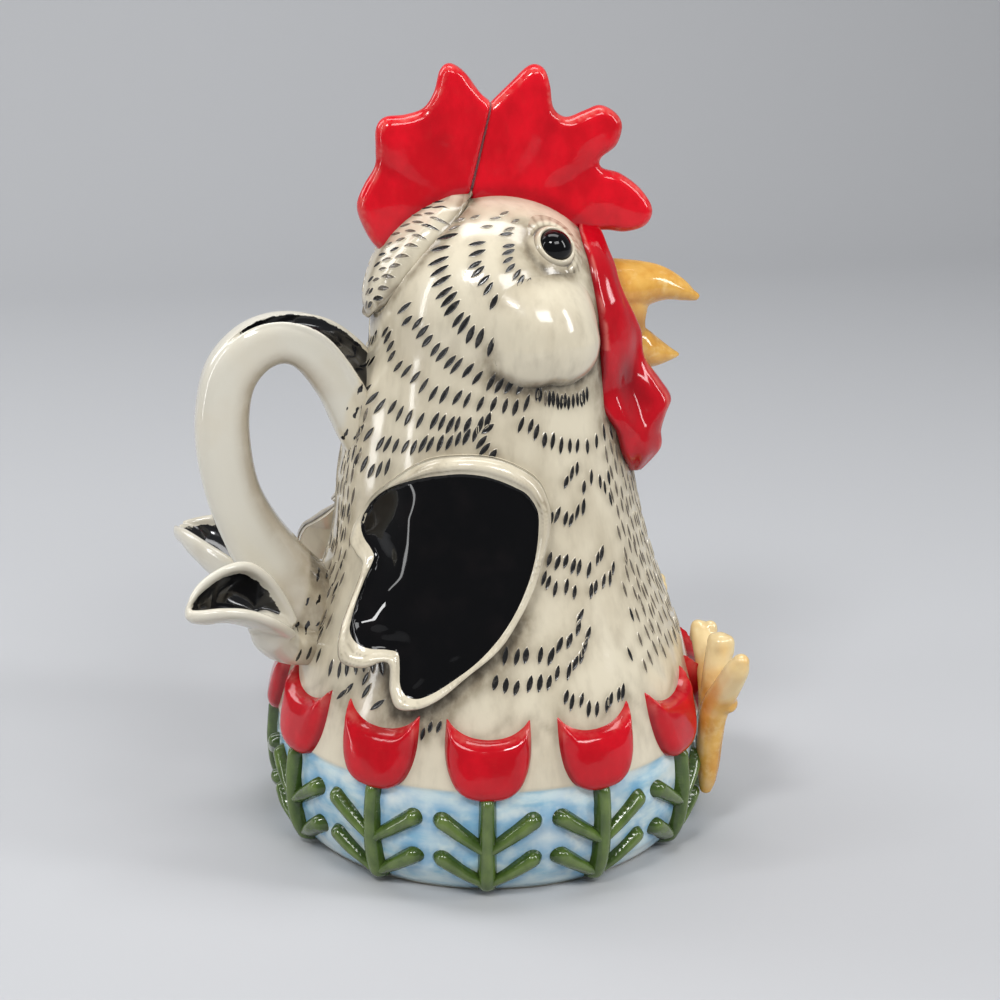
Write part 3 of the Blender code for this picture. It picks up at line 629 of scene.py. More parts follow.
WING_TURN = math.radians(-102)
WING = ((-42.6, 101.8), (-39.4, 109.5), (-33.3, 118), (-20.9, 129.1), (-9, 132.6), (2.8, 131.8),
        (13.2, 126.1), (17.4, 118.3), (18.1, 111), (16.4, 102.5), (13.5, 94), (9.1, 85.8), (3.3, 77.7),
        (-5.6, 70.7), (-14.4, 63.3), (-21.9, 59.4), (-27.4, 59.4), (-29.5, 64), (-30.2, 71.7),
        (-37.3, 70.9), (-43.4, 73.9), (-44.6, 78.2), (-43.5, 84), (-38.4, 95.7), (-40.7, 98.9))
PANEL = ((-14.1, 127), (-19.3, 125.7), (-25.3, 123.2), (-30.7, 119.5), (-35.4, 114.4), (-38.3, 109.3),
         (-39.2, 105.8), (-38.2, 103.3), (-36, 101.3), (-34.8, 99.3), (-35.8, 96.5), (-37.7, 93),
         (-39.5, 89.1), (-40.7, 85.5), (-41.2, 82.6), (-40.2, 79.8), (-38, 77.5), (-34.6, 76.1),
         (-30.1, 75.6), (-27.1, 74.8), (-26.5, 71.5), (-26.4, 66.8), (-25.4, 64.2), (-23.3, 62.9),
         (-20.3, 63.1), (-15.9, 65.3), (-10, 69.3), (-4.1, 73.7), (1, 78.6), (5.4, 84.1), (9, 90.2),
         (11.9, 97.2), (13.7, 104.2), (14.4, 111.4), (14, 117), (11, 121.8), (7.3, 124.2), (2.8, 126.2),
         (-2.3, 127.6), (-8.5, 127.9))


def wing_place(flat, off):
    """Places on the body's right flank. The wing's trailing lobes stand further off."""
    side, height = flat[:, 0], flat[:, 1]
    flare = 18.0 * np.clip((-22 - side) / 23.4, 0, None) ** 2 * np.clip((106 - height) / 22, 0, 1)
    return facing(flat, radius_at(height) + off + flare, WING_TURN)


WING_STEP = 0.62
wing_loop = resample(curve(WING, 10, True), WING_STEP)
panel_loop = resample(curve(PANEL, 8, True), WING_STEP)

# ---------------------------------------------------------------- tulip border: outlines and place

TULIP_HALF = ((0, 33.2), (5.5, 34), (9.5, 36.6), (11.8, 41), (12.8, 46), (12.9, 51), (12.4, 57.6))
TULIP_TOP = ((12.4, 57.6), (10.6, 55.2), (7.6, 53.1), (4, 51.9), (0, 51.5))
TULIPS = [-102 + 30 * k for k in range(12)]
tulip_side = np.concatenate([curve(TULIP_HALF, 8), curve(TULIP_TOP, 6)[1:]])
tulip_loop = resample(np.concatenate([tulip_side, (tulip_side * (-1, 1))[-2:0:-1]]), 0.7)


def border_place(flat, off, angle):
    """Places on the body beside and along the middle line of a flower at this angle."""
    return facing(flat, radius_at(flat[:, 1]) + off, math.radians(angle))


def capsule(start, end, wide_start, wide_end):
    """A round-ended bar as an outline."""
    start, end = np.array(start, float), np.array(end, float)
    angle = math.atan2(*(end - start)[::-1])
    rows = []
    for centre, width, first in ((end, wide_end, -90), (start, wide_start, 90)):
        for step in range(9):
            a = angle + math.radians(first + 22.5 * step)
            rows.append(centre + width * np.array((math.cos(a), math.sin(a))))
    return resample(np.array(rows), 0.55)


LEAF_SLANT = math.radians(34)
LEAF_LONG = 16.4
leaf_bars = [((side * 1.0, root), (side * LEAF_LONG * math.cos(LEAF_SLANT),
                                   root + LEAF_LONG * math.sin(LEAF_SLANT)), 2.1, 3.0)
             for root in (4.4, 17.2) for side in (-1, 1)]
stem_bar = ((0, 3.7), (0, 33.0), 3.1, 2.6)

# ---------------------------------------------------------------- pot body

WALL = 5
INNER_HEAD_R = 29.5
UNDERSIDE = ((50.0, 1.6), (53.5, 1.6), (56.0, 0.6), (57.5, 0.0))
BORE_R, BORE_Z = 5, 161.5

turns = np.linspace(0, 360, 300, endpoint=False)
ups = np.concatenate([np.linspace(0, 30, 28), np.linspace(31, 42, 16), np.linspace(43, FULL - 1.2, 170)])
shell = surface(np.tile(turns, len(ups)), np.repeat(ups, len(turns)), 0.0).reshape(len(ups), len(turns), 3)
shell[0, :, 2] = 0.0
under = [[(r * math.cos(math.radians(a)), r * math.sin(math.radians(a)), z) for a in turns]
         for r, z in UNDERSIDE]
points, faces = loft(np.concatenate([np.array(under), shell]))
inner = [(r - WALL, z) for z, r in BODY_ROWS if z > 8]
inner = [(58.0, 7.0), (61.0, 7.6)] + inner[:-1] + [(32.0, 158.0)] + head_arc(INNER_HEAD_R, range(0, 88, 8))
hollow_points, hollow_faces = turned(curve(inner, 3), 96)
faces = outward(points, faces)
hollow_faces = [tuple(len(points) + k for k in face[::-1])
                for face in outward(hollow_points, hollow_faces)]
body = make("pot_body", np.concatenate([points, hollow_points]), faces + hollow_faces, [cream])


def seat_place(a, b, h):
    """Places from distances along, across and off the lid's slanting seat."""
    return (SEAT + np.multiply.outer(a, SEAT_ALONG) + np.multiply.outer(b, (0, 1, 0))
            + np.multiply.outer(h, SEAT_OUT))


def oval_rings(rows, count=96):
    """Rings on the lid's seat from rows of half length, half width and height."""
    a = round_turn(count)
    return [seat_place(long * np.cos(a), wide * np.sin(a), np.full(count, high)) for long, wide, high in rows]


def bore(name, stations):
    """A round tool for the throat, which runs level along X."""
    return solid(name, [[(x, BORE_R * math.cos(a), BORE_Z + BORE_R * math.sin(a)) for a in round_turn(40)]
                        for x in stations])


def ball(name, radius, rows=32, columns=64):
    """A fine ball round the head's middle, to cut with."""
    rings = []
    for row in range(1, rows):
        lat = math.pi * row / rows
        rings.append([(radius * math.sin(lat) * math.cos(lon), radius * math.sin(lat) * math.sin(lon),
                       radius * math.cos(lat)) for lon in round_turn(columns)])
    points, faces = loft(rings)
    points[-2:] = ((0, 0, radius), (0, 0, -radius))
    points = points + HEAD
    return make(name, points, outward(points, faces))


pocket = oval_rings([(24.4, 15.8, -0.01), (25.3, 16.7, 0.7), (25.6, 17.0, 6), (26.2, 17.4, 40)])
mouth = oval_rings([(17, 12, -9), (17, 12, -0.8), (17.8, 12.8, 0.02), (17.8, 12.8, 2)])
carve(body, solid("pocket", pocket), solid("mouth", mouth), bore("throat", (20.0, 30.0, 50.0)))

# ---------------------------------------------------------------- tick marks

# Rows of strokes on the bird's right: places as angle and height, then the strokes' length and lean at the
# row's two ends, and their boldness
ROWS = (
    (((-133.7, 193.5), (-134.4, 190.5), (-133.2, 187.4), (-130.5, 184.7), (-127.9, 182.2), (-125.7, 179.3),
      (-122.7, 177.5), (-120.2, 174.9), (-117, 172.2), (-114.5, 170.3), (-111.2, 168.1), (-107.6, 166.7),
      (-102.2, 164.4), (-98.6, 162)), (5.6, 5.6), (68, 10), 1.25),
    (((-146.4, 173.3), (-144.2, 169.8), (-138, 169.2), (-135, 166.8), (-131.6, 164.9), (-127.6, 162.7),
      (-124.1, 161.2), (-121.1, 159.3), (-117.3, 158), (-112.3, 156.8), (-107.8, 155.2), (-102.1, 153.8),
      (-98.6, 152.9), (-94.2, 152.9), (-88.9, 152.4)), (5.4, 4.6), (44, 28), 1.0),
    (((-160.1, 164.4), (-157.2, 162.7), (-155.3, 160.2), (-153.4, 157.7), (-147.9, 155.5), (-142.6, 154.2),
      (-137.7, 153.1), (-132.7, 151.6), (-128, 149.6), (-122.3, 149.5), (-116.7, 148.7), (-111.9, 148.3),
      (-106.3, 147.6), (-100.7, 147.7), (-95.6, 147.1), (-91.7, 146.1), (-86.9, 147.4)), (5.6, 4.4),
      (46, 18), 0.95),
    (((-165.9, 144.7), (-160.4, 143.6), (-155.8, 142.5), (-148.9, 143), (-144.2, 141.8), (-139, 141.1),
      (-133.2, 140.6), (-126.6, 141.8), (-122.4, 141.3), (-119.3, 141.2), (-115.8, 141.4), (-111.6, 141.6),
      (-106.5, 141.8), (-103.2, 143)), (5.4, 4.4), (36, 15), 1.0),
    (((-169.4, 133.8), (-163.5, 133.1), (-158.9, 132.8), (-153.1, 131.4), (-148.5, 131.6), (-144.5, 132.2),
      (-139, 132.4), (-135, 132.6), (-130.4, 134.3), (-127.2, 134.9), (-122.8, 135.3), (-119.3, 135.9),
      (-115.5, 136.7), (-112.2, 137.5), (-108.5, 138.8)), (5.4, 4.4), (32, 16), 1.0),
    (((-103.6, 140.6), (-105.5, 136.5), (-104.7, 134.6), (-101, 132.8)), (4.0, 4.0), (48, 30), 1.1),
    (((-163.5, 123.5), (-159.1, 123.5), (-155.1, 122.7), (-151.3, 123.5), (-147.4, 125.4)), (5.2, 4.9),
      (20, 17), 1.0),
    (((-91.5, 194.2), (-91.8, 192), (-92.5, 190.1), (-93, 188.1), (-91.7, 186.3), (-88.9, 184.4),
      (-87.2, 182.8), (-83.3, 181.6), (-78.1, 180.9)), (3.7, 3.7), (84, 20), 0.9),
    (((-111.3, 192.2), (-111.1, 190), (-111.5, 187.2), (-108.9, 185.2), (-106, 182.9), (-103.9, 180.6),
      (-101, 177.6), (-96.3, 176.2), (-93.5, 175.1)), (4.1, 4.1), (69, 18), 1.0),
    (((-106.5, 196.5), (-98.7, 197.7), (-89, 195.6), (-81.5, 197.3), (-89, 198.7), (-118.8, 197.9),
      (-132, 197.2), (-131.9, 195.3)), (3.1, 3.1), (74, 50), 0.7),
    (((-81.7, 150.3), (-79.9, 149.3), (-78.1, 148.6), (-76.2, 148.2), (-74.3, 147.7), (-72.4, 147.3),
      (-70.4, 146.8), (-68.4, 146.6), (-66.2, 146.4), (-64.1, 146.1), (-61.8, 146.1), (-59.4, 146.2),
      (-57.5, 146.5), (-55.4, 147.1)), (4.4, 4.6), (8, 1), 0.85),
    (((-88.9, 141.6), (-85, 140.5), (-82.4, 138.6), (-79.5, 136.6), (-75.5, 135.4), (-71.4, 134),
      (-67.6, 133.1), (-64, 132.7), (-58, 131.8), (-52.5, 132.6)), (4.1, 4.3), (17, 8), 1.0),
    (((-46.4, 134.5), (-40.9, 133.2), (-36.2, 130.1)), (5, 5.4), (-1, -15), 0.8),
    (((-70.5, 123), (-67.8, 125.1), (-64.7, 125.9), (-62.5, 120.5), (-57.7, 122.4), (-53.5, 120.2),
      (-50.8, 118.5), (-47.3, 120.5), (-48.2, 114)), (4.2, 4.4), (22, 0), 0.9),
    (((-78.6, 112.7), (-76.1, 113.6), (-72.7, 112.6), (-70.4, 111.4), (-67.6, 114), (-64.1, 114.7)),
      (4.2, 4.2), (26, 20), 0.95),
    (((-80.6, 101.1), (-77.6, 100.2), (-74.5, 99.8), (-72, 98.1), (-69.5, 97.7), (-65.4, 96.1),
      (-60.7, 98.2), (-57.8, 99.8), (-53.4, 94.6), (-56.4, 91.9), (-59.5, 91.4)), (4.2, 4.3), (21, 22),
      1.0),
    (((-83.3, 96.4), (-81.6, 94.5), (-79.7, 92.3), (-75.5, 92.4), (-72.6, 90.8), (-65.9, 89.6),
      (-63.5, 90.4)), (4.2, 4.2), (20, 19), 0.95),
    (((-96.9, 74.7), (-93.9, 74.5), (-90.8, 74.7), (-86.5, 74.6), (-83.4, 73.9), (-79.7, 77), (-76.3, 77),
      (-73.3, 80), (-71.9, 83.2)), (4.5, 4.6), (12, 32), 1.15),
    (((-81.9, 68.8), (-78.3, 69.4), (-75.4, 71), (-73.4, 72.8), (-71.4, 75), (-69.5, 77.6)), (4.5, 4.6),
      (20, 34), 1.0),
    (((-100.5, 67.3), (-97.4, 66.9), (-94.2, 66.3), (-90.1, 67.1), (-87.5, 67.2), (-84.9, 66.9)),
      (4.4, 4.4), (15, 16), 1.1),
    (((-80, 62.1), (-78.2, 60.1), (-75.3, 60.8), (-73.8, 57.6), (-71, 57.3), (-68, 57.1), (-66, 58.7),
      (-63.6, 58.9), (-61.2, 59.9)), (4.2, 4.2), (19, 19), 0.95),
    (((-167.6, 82.2), (-164.6, 83.7), (-173.5, 70.5), (-164.6, 69.3), (-161.2, 64)), (5.4, 5.2), (12, 3),
      0.9),
    (((-154, 62.6), (-149.6, 63.4), (-147, 64.8), (-144.2, 66.4), (-141.2, 68.1), (-138.1, 68.3),
      (-134.5, 68.3)), (4.9, 4.8), (-10, -20), 1.2),
    (((-139.3, 63.4), (-138.2, 60.4), (-144.2, 59.4), (-147, 57.2), (-134, 57.4)), (4.4, 4.8), (20, 42),
      1.0),
    (((-119.2, 52.1), (-117.4, 53.9), (-115, 54.4)), (3.7, 3.6), (10, 11), 0.9),
    (((-35.7, 120.6), (-30.2, 113.6), (-35.6, 109.6), (-28.9, 103), (-36.5, 98.7), (-33.4, 92.8),
      (-31.8, 86.2), (-39, 83.1), (-36.6, 76.7), (-42, 72.9), (-39.3, 66.7)), (5.1, 4.7), (-14, 2), 0.7),
    (((-49, 71.4), (-49.6, 79.1), (-49.8, 86.7), (-45.7, 95.4), (-43, 81.8), (-55.3, 68.8), (-50, 64.2)),
      (4.7, 4.7), (-3, -4), 0.7),
)


def stroke_rows():
    """Every stroke as angle, height, length, lean and boldness, over the whole body."""
    right = []
    for row, lengths, leans, bold in ROWS:
        for index, (angle, height) in enumerate(row):
            share = index / max(1, len(row) - 1)
            length = lengths[0] + (lengths[1] - lengths[0]) * share
            lean = leans[0] + (leans[1] - leans[0]) * share
            right.append((angle, height, length * (1.12 if bold > 0.9 else 1.0), lean, bold))
    # Loose rows round the back and down the breast, which the photograph doesn't show
    for height in range(60, 126, 9):
        for angle in range(-178, -164, 5):
            right.append((angle + 3 * (height % 2), height + 3 * math.sin(angle), 5.0, 14, 0.8))
    for height in range(64, 124, 8):
        for angle in range(-26, 0, 5):
            right.append((angle + 2.5 * (height % 16 > 7), height - 0.09 * (angle + 26) + 1.5, 4.8, -8, 0.75))
    for row in range(11):
        for angle in range(-47, -17, 4):
            right.append((angle + 2.0 * (row % 2), 66 + 6.2 * row + 1.2 * math.sin(angle), 5.2, -6, 0.66))
    for row in range(12):
        for angle in (-176, -172, -168, -164):
            right.append((angle + 2.0 * (row % 2), 68 + 6.4 * row, 5.4, 8, 0.66))
    for height in (150, 158, 141, 132):
        for angle in range(-178, -168, 4):
            right.append((angle, height + 0.4 * (angle + 178), 5.0, 34, 0.9))
    both = []
    for angle, height, length, lean, bold in right:
        for hand in (1, -1):
            shake = [dice.uniform(-1, 1) for _ in range(5)]
            both.append((hand * angle + 0.4 * shake[0], height + 0.4 * shake[1],
                         length * (1 + 0.12 * shake[2]), hand * lean + 5 * shake[3],
                         bold * (1 + 0.14 * shake[4])))
    return both


LENS = 14
lens_turns = round_turn(LENS)
lens_side = np.sign(np.sin(lens_turns)) * np.abs(np.sin(lens_turns)) ** 1.7
lens_long = np.cos(lens_turns)
# Rings of a stroke: extra half width, extra half length, share of the ink's width, height off the surface
LENS_RINGS = ((0.62, 0.75, 1.0, -0.10), (0.36, 0.42, 1.0, 0.10), (0.16, 0.2, 1.0, 0.24),
              (0.0, 0.0, 1.0, 0.17), (0.0, -0.1, 0.72, 0.06), (0.0, -0.5, 0.3, 0.04))
BURR_RINGS = 2


def stroke_piece(name, strokes, place):
    """Scratched strokes with a raised burr and ink, from length, half width, lean and faintness.

    place maps flat offsets on to the surface.
    """
    blocks, faces, slots = [], [], []
    ring_faces = grid_faces(len(LENS_RINGS), LENS, True)
    start = 0
    for index, (length, half, lean, faint) in enumerate(strokes):
        c, s = math.cos(math.radians(lean)), math.sin(math.radians(lean))
        flat = []
        for wider, longer, share, height in LENS_RINGS:
            u = (half * share + wider) * lens_side
            v = (length / 2 + longer) * lens_long
            flat.append(np.stack([u * c + v * s, v * c - u * s, np.full(LENS, height)], 1))
        flat.append(np.array([(0, 0, 0.035)]))
        blocks.append((index, np.concatenate(flat)))
        mark = 2 if faint else 1
        for number, face in enumerate(ring_faces):
            faces.append(tuple(start + face))
            slots.append(0 if number < BURR_RINGS * LENS else mark)
        middle = start + len(LENS_RINGS) * LENS
        base = middle - LENS
        for k in range(LENS):
            faces.append((base + k, base + (k + 1) % LENS, middle))
            slots.append(mark)
        start = middle + 1
    return make(name, place(blocks), faces, [cream, bold_ink, faint_ink], slots)


strokes = stroke_rows()


def on_body(blocks):
    rows = []
    for index, flat in blocks:
        angle, height = strokes[index][:2]
        near = max(6.0, float(radius_at(height)))
        rows.append(np.stack([angle + np.degrees(flat[:, 0] / near), run_at(height) + flat[:, 1],
                              flat[:, 2]], 1))
    rows = np.concatenate(rows)
    return surface(rows[:, 0], rows[:, 1], rows[:, 2])


ticks = stroke_piece("feather_ticks", [(length, 0.62 * bold, lean, bold < 0.75)
                                       for _, _, length, lean, bold in strokes], on_body)
piece(ticks, "pot", "cream_glaze")

# ---------------------------------------------------------------- wash and painted shade in the hollows, creases and joins

hollows = []


def hollow_line(points, width, strength):
    """Remembers a line along which wash gathers and painted shade is laid, on both sides of the bird."""
    points = np.asarray(points, float)
    strength = np.broadcast_to(strength, len(points))
    hollows.append((np.concatenate([points, points * (1, -1, 1)]), width, np.tile(strength, 2)))


def wash_at(points, lines):
    """How much wash and painted shade lies at each point, from lines of spots with their width and strength.
    """
    bare = np.ones(len(points))
    for spots, width, strength in lines:
        tree = tree_of(spots)
        found = [tree.find(Vector(p)) for p in points]
        gap = np.array([hit[2] for hit in found])
        power = np.array([strength[hit[1]] for hit in found])
        bare *= 1 - power * np.exp(-(gap / width) ** 1.4)
    return 1 - bare


# Wattle rows: rear edge, front edge and the relief a quarter, half and three quarters of the way between them
WATTLE = ((27.5, -0.5, 193.4, 32.4, -0.5, 192, 0.3, 0.3, 0.3),
          (25.4, -6.5, 192.4, 33, -4.6, 190.8, 0.9, 1.1, 0.9),
          (24.6, -15, 189.4, 33.7, -8, 187.2, 1.6, 2, 1.6),
          (25.1, -19.6, 185.4, 34.8, -12, 182.5, 2, 2.6, 2),
          (25.4, -22.7, 181, 35.7, -14.5, 177.5, 2.2, 3, 2.2),
          (26.1, -25, 175.1, 38, -15.5, 172, 2.4, 3.2, 2.4),
          (27, -26.1, 169.5, 41.2, -13.5, 166.4, 2.6, 3.4, 2.6),
          (27.6, -26.5, 164.1, 44.4, -10.8, 160.4, 3, 3.6, 2.6),
          (27.8, -26.6, 159.1, 45.3, -10.8, 154.8, 3.2, 3.4, 2.4),
          (28, -26, 152.1, 47, -12, 150.6, 3.6, 2.4, 2.2),
          (27.2, -25.4, 145.6, 50.6, -13.5, 145.7, 4, 1.2, 2.6),
          (28.2, -26.2, 140.9, 54.1, -14.5, 140, 4.2, 0.8, 3.2),
          (31, -26.9, 136.9, 52.3, -15.5, 135.6, 3.8, 2, 3.6),
          (33.6, -26.8, 132.6, 50.7, -16, 130.3, 3.2, 3.6, 3.4),
          (35.9, -24.9, 125.4, 50.5, -16.5, 124.3, 2.8, 4, 3),
          (40.7, -17.6, 117.3, 44, -17.5, 117.4, 0.8, 1, 0.8))
wattle_rows = curve(WATTLE, 9)
EYE = np.array((13.9, -23.4, 190.5))
eye_out = unit(0.6 * unit(EYE - HEAD) + 0.4 * unit((0.14, -0.81, 0.57)))
eye_side = unit(np.cross((0, 0, 1), eye_out))
eye_up = np.cross(eye_out, eye_side)
CHEEK_ANGLE, CHEEK_Z = -74.3, 164.0


def cheek_reach(turn):
    """The cheek's radius: larger above and behind, where it runs out smoothly."""
    back = smoothstep(0.0, 1.0, -np.cos(turn))
    return (14.8 + 8.0 * smoothstep(0.0, 1.0, np.sin(turn)) + 4.5 * back
            + 4.2 * np.clip(np.cos(turn), 0, 1) - 2.6 * smoothstep(0.3, 1.0, -np.sin(turn)))


def cheek_flat(reach, turn):
    return reach * np.cos(turn), reach * np.sin(turn)


wing_line = wing_place(wing_loop, 0.0)
wing_line[:, :2] *= (radius_at(wing_line[:, 2]) / axis_gap(wing_line))[:, None]
# Wash along the wing's outline, with painted shade that grows towards its lower part, and painted shade below
# its lower edge
hollow_line(wing_line, 4.2, 0.30 + 0.55 * smoothstep(100, 62, wing_line[:, 2]))
hollow_line(wing_line[wing_line[:, 2] < 86] - (0, 0, 3.0), 4.5, 0.9)
wattle_edge = wattle_rows[:, :3]
# Painted shade where the wattle meets the head, and in the crease between cheek and wattle
hollow_line(wattle_edge, 3.6, 0.8)
hollow_line(wattle_edge[(wattle_edge[:, 2] > 138) & (wattle_edge[:, 2] < 162)] - (1.5, 0, 0), 4.5, 0.85)
cheek_turns = round_turn(90)
cu, cv = cheek_flat(cheek_reach(cheek_turns), cheek_turns)
cheek_edge = surface(CHEEK_ANGLE + np.degrees(cu / HEAD_R), run_at(CHEEK_Z) + cv, np.zeros(len(cu)))
# Painted shade under the cheek's lower edge
hollow_line(cheek_edge, 3.6, 0.98 * smoothstep(0.25, -0.5, np.sin(cheek_turns)))
# Wash and painted shade round the eye's lid, darkest at its lower rear
hollow_line([EYE + 9.5 * (eye_side * math.cos(a) + eye_up * math.sin(a)) for a in cheek_turns], 3.2,
            0.66 + 0.32 * np.clip(-np.sin(cheek_turns + 0.5), 0, 1))
seam = oval_rings([(25.4, 16.8, 0.0)], 120)[0]
# Painted shade in the lid's seam
hollow_line(HEAD + unit(seam - HEAD) * HEAD_R, 2.2, 0.75)
tulip_brim = tulip_loop[tulip_loop[:, 1] > 49.5]
# Wash and painted shade along the flowers' upper lips
hollow_line(np.concatenate([border_place(tulip_brim, 0.0, angle) for angle in TULIPS]), 2.2, 0.42)
tick_spots = surface(np.array([s[0] for s in strokes]), run_at(np.array([s[1] for s in strokes])),
                     np.zeros(len(strokes)))
hollows.append((tick_spots, 3.0, np.full(len(strokes), 0.5)))
# Painted shade round the handle's two roots
half_turn = np.linspace(0, math.pi, 20)
for x, z, wide, high in ((-34, 134, 11, 12), (-56, 78, 14, 13)):
    hollow_line([(x, -wide * math.sin(a), z + high * math.cos(a)) for a in half_turn], 5, 0.5)


def root_share(spots):
    """How far a point on a handle or feather lies in the body's glaze at its root."""
    azimuth = np.arctan2(spots[:, 1], spots[:, 0])
    gap = off_body(spots) - swell(azimuth, spots[:, 2])
    limit = 4.0 + 3.2 * smoothstep(112, 92, spots[:, 2])
    return smoothstep(limit + 0.9, limit - 0.9, gap + 1.2 * wander(spots, 7.0, 3.0))


def root_strokes(spots):
    """Short strokes in staggered rows on both flanks, where the body's glaze runs up a root."""
    up = spots[:, 2] / 7.5
    row = np.floor(up)
    rise = up - row - 0.5
    across = (spots[:, 0] - 3.0 * rise) / 3.3 + 0.5 * (row % 2) + 0.3 * np.sin(row * 2.3)
    side = across - np.floor(across) - 0.5
    flank = smoothstep(4.0, 6.5, np.abs(spots[:, 1])) * root_share(spots)
    return smoothstep(1.1, 0.5, np.hypot(side / 0.21, rise / 0.34)) * flank


def dress_cream(obj):
    """Paints the wash and painted shade, the blue band and the deeper blue round the flowers on a cream
    piece.
    """
    spots = places(obj)
    outer = smoothstep(3.0, 1.5, np.abs(off_body(spots))) * (spots[:, 2] > 0.4)
    edge = BAND_TOP + 0.5 * wander(spots, 14.0, 5.0)
    outlines = [capsule(*bar) for bar in leaf_bars + [stem_bar]] + [tulip_loop[tulip_loop[:, 1] < 42]]
    lines = np.concatenate([border_place(outline, 0.0, angle) for angle in TULIPS for outline in outlines])
    near = spots[:, 2] < 45
    pool = np.zeros(len(spots))
    pool[near] = wash_at(spots[near], [(lines, 3.2, np.ones(len(lines)))])
    paint(obj, wash=wash_at(spots, hollows), band=outer * smoothstep(edge + 0.5, edge - 0.5, spots[:, 2]),
          pool=pool)


dress_cream(body)
dress_cream(ticks)
piece(body, "pot", "cream_glaze", "body_shell")

# ---------------------------------------------------------------- lid

LID_LONG, LID_WIDE = 25.0, 16.0
LID_COLUMNS = 120
# The ball that the dome is part of, from half its length and its height
CAP = (24.2**2 + 10.4**2) / 20.8
# Rings under the lid from its edge in: half length, half width and height
LID_UNDER = ((25.0, 16.0, 1.1), (24.7, 15.7, 0.5), (24.0, 15.0, 0.3), (20, 13.4, 0.3), (16.4, 11.4, 0.3),
             (16.2, 11.2, 0.0), (16.2, 11.2, -4.6), (15.7, 10.7, -5.6), (14.9, 9.9, -6.0), (13.7, 8.7, -5.7),
             (13.2, 8.2, -5.0), (13.2, 8.2, 4.4), (11.5, 7.0, 5.9), (6, 4, 6.4), (0.5, 0.3, 6.4))
# Rows of strokes on each side of the lid: distance across, first and last place along, and number
LID_ROWS = ((13.2, -18, 12, 9), (9.6, -21, 15, 11), (6.0, -22, 16, 11))


def lid_rim(a, b):
    """0 on the lid's edge and 1 at its middle."""
    return 1 - np.sqrt((a / LID_LONG) ** 2 + (b / LID_WIDE) ** 2)


def dome(a, b):
    """The lid's height above its seat, with a rolled edge."""
    top = 11.4 - CAP + np.sqrt(np.maximum(CAP**2 - a**2 - b**2, 1)) - 2.2 * (b / LID_WIDE) ** 2
    from_edge = lid_rim(a, b) * 19
    low = np.minimum(top - 0.6, 1.6)
    return low + (top - low) * rounded(from_edge, 3.4) + 0.35 * bell(from_edge, 3.0, 1.6)


def uneven(points):
    """Points of the lid's outside, moved a little as on a hand-made piece."""
    bulge = 0.3 * wander(points, 14.0, 4.0) * smoothstep(4.0, 7.0, (points - SEAT) @ SEAT_OUT)
    return points + unit(points - HEAD) * bulge[:, None]


a = round_turn(LID_COLUMNS)
rings = []
for share in np.concatenate([np.linspace(0.02, 0.78, 26), np.linspace(0.8, 0.985, 18), [0.993, 0.998, 1.0]]):
    u, v = LID_LONG * share * np.cos(a), LID_WIDE * share * np.sin(a)
    rings.append(seat_place(u, v, dome(u, v)))
points, faces = loft(rings + oval_rings(LID_UNDER, LID_COLUMNS))
points = uneven(points)
lid = make("lid_shell", points, outward(points, faces), [cream])
lid_strokes = []
for across, first, last, number in LID_ROWS:
    for k in range(number):
        for hand in (1, -1):
            along = first + (last - first) * k / (number - 1) + dice.uniform(-0.5, 0.5)
            wide = across * math.sqrt(max(0.1, 1 - (along / 27) ** 2)) + dice.uniform(-0.4, 0.4)
            lid_strokes.append((along, -hand * wide, 3.6 + dice.uniform(-0.5, 0.6),
                                -hand * (48 + dice.uniform(-12, 12))))


def on_lid(blocks):
    rows = []
    for index, flat in blocks:
        along, wide = lid_strokes[index][:2]
        u, v = along + flat[:, 1], wide + flat[:, 0]
        rows.append(seat_place(u, v, dome(u, v) + flat[:, 2]))
    return uneven(np.concatenate(rows))


lid_ticks = stroke_piece("lid_ticks", [(length, 0.36, lean, dice.random() < 0.7)
                                       for _, _, length, lean in lid_strokes], on_lid)
for obj in (lid, lid_ticks):
    spots = places(obj)
    up = (spots - SEAT) @ SEAT_OUT
    along = (spots - SEAT) @ SEAT_ALONG
    # Painted shade along the lid's low edge by the seam, near its rim and where the comb stands on it
    comb_foot = bell(np.abs(spots[:, 1]), 4.2, 1.8) * (along > -20)
    wash = (0.75 * smoothstep(4.2, 0.8, up) * (up > -0.2) + 0.5 * comb_foot * (up > 5)
            + 0.25 * smoothstep(0.3, 0.05, lid_rim(along, spots[:, 1])) * (up > 2))
    paint(obj, wash=np.clip(wash, 0, 1), band=0, pool=0)
piece(lid, "lid", "cream_glaze", "lid_cap")
piece(lid_ticks, "lid", "cream_glaze")

# ---------------------------------------------------------------- comb

FRONT_COMB = ((-8.7, 196), (-0.6, 230), (5, 235.3), (11, 240.5), (15.3, 239.5), (17.3, 234.5),
              (18.5, 227.8), (22.4, 224.9), (28.2, 226.8), (32.8, 228.2), (37.6, 226), (39.9, 222),
              (38.2, 216), (33.5, 212.1), (34.1, 209.2), (39.7, 207.4), (46.2, 202.6), (50.2, 196.3),
              (48.1, 191.1), (41.8, 189.2), (35.4, 189.9), (31, 188.8), (25, 182), (8, 190))
REAR_COMB = ((-9.6, 196), (-1.2, 230.3), (-4.1, 232.8), (-8.7, 238.8), (-13.2, 241.5), (-16.2, 239.5),
             (-18, 233.1), (-21.2, 228.5), (-26.7, 226.7), (-32.7, 226.1), (-35.4, 222.9), (-35.6, 216.4),
             (-35.9, 211.6), (-39.2, 206.1), (-41.4, 200.2), (-39.9, 194.1), (-35.6, 187), (-28, 182),
             (-16, 190))


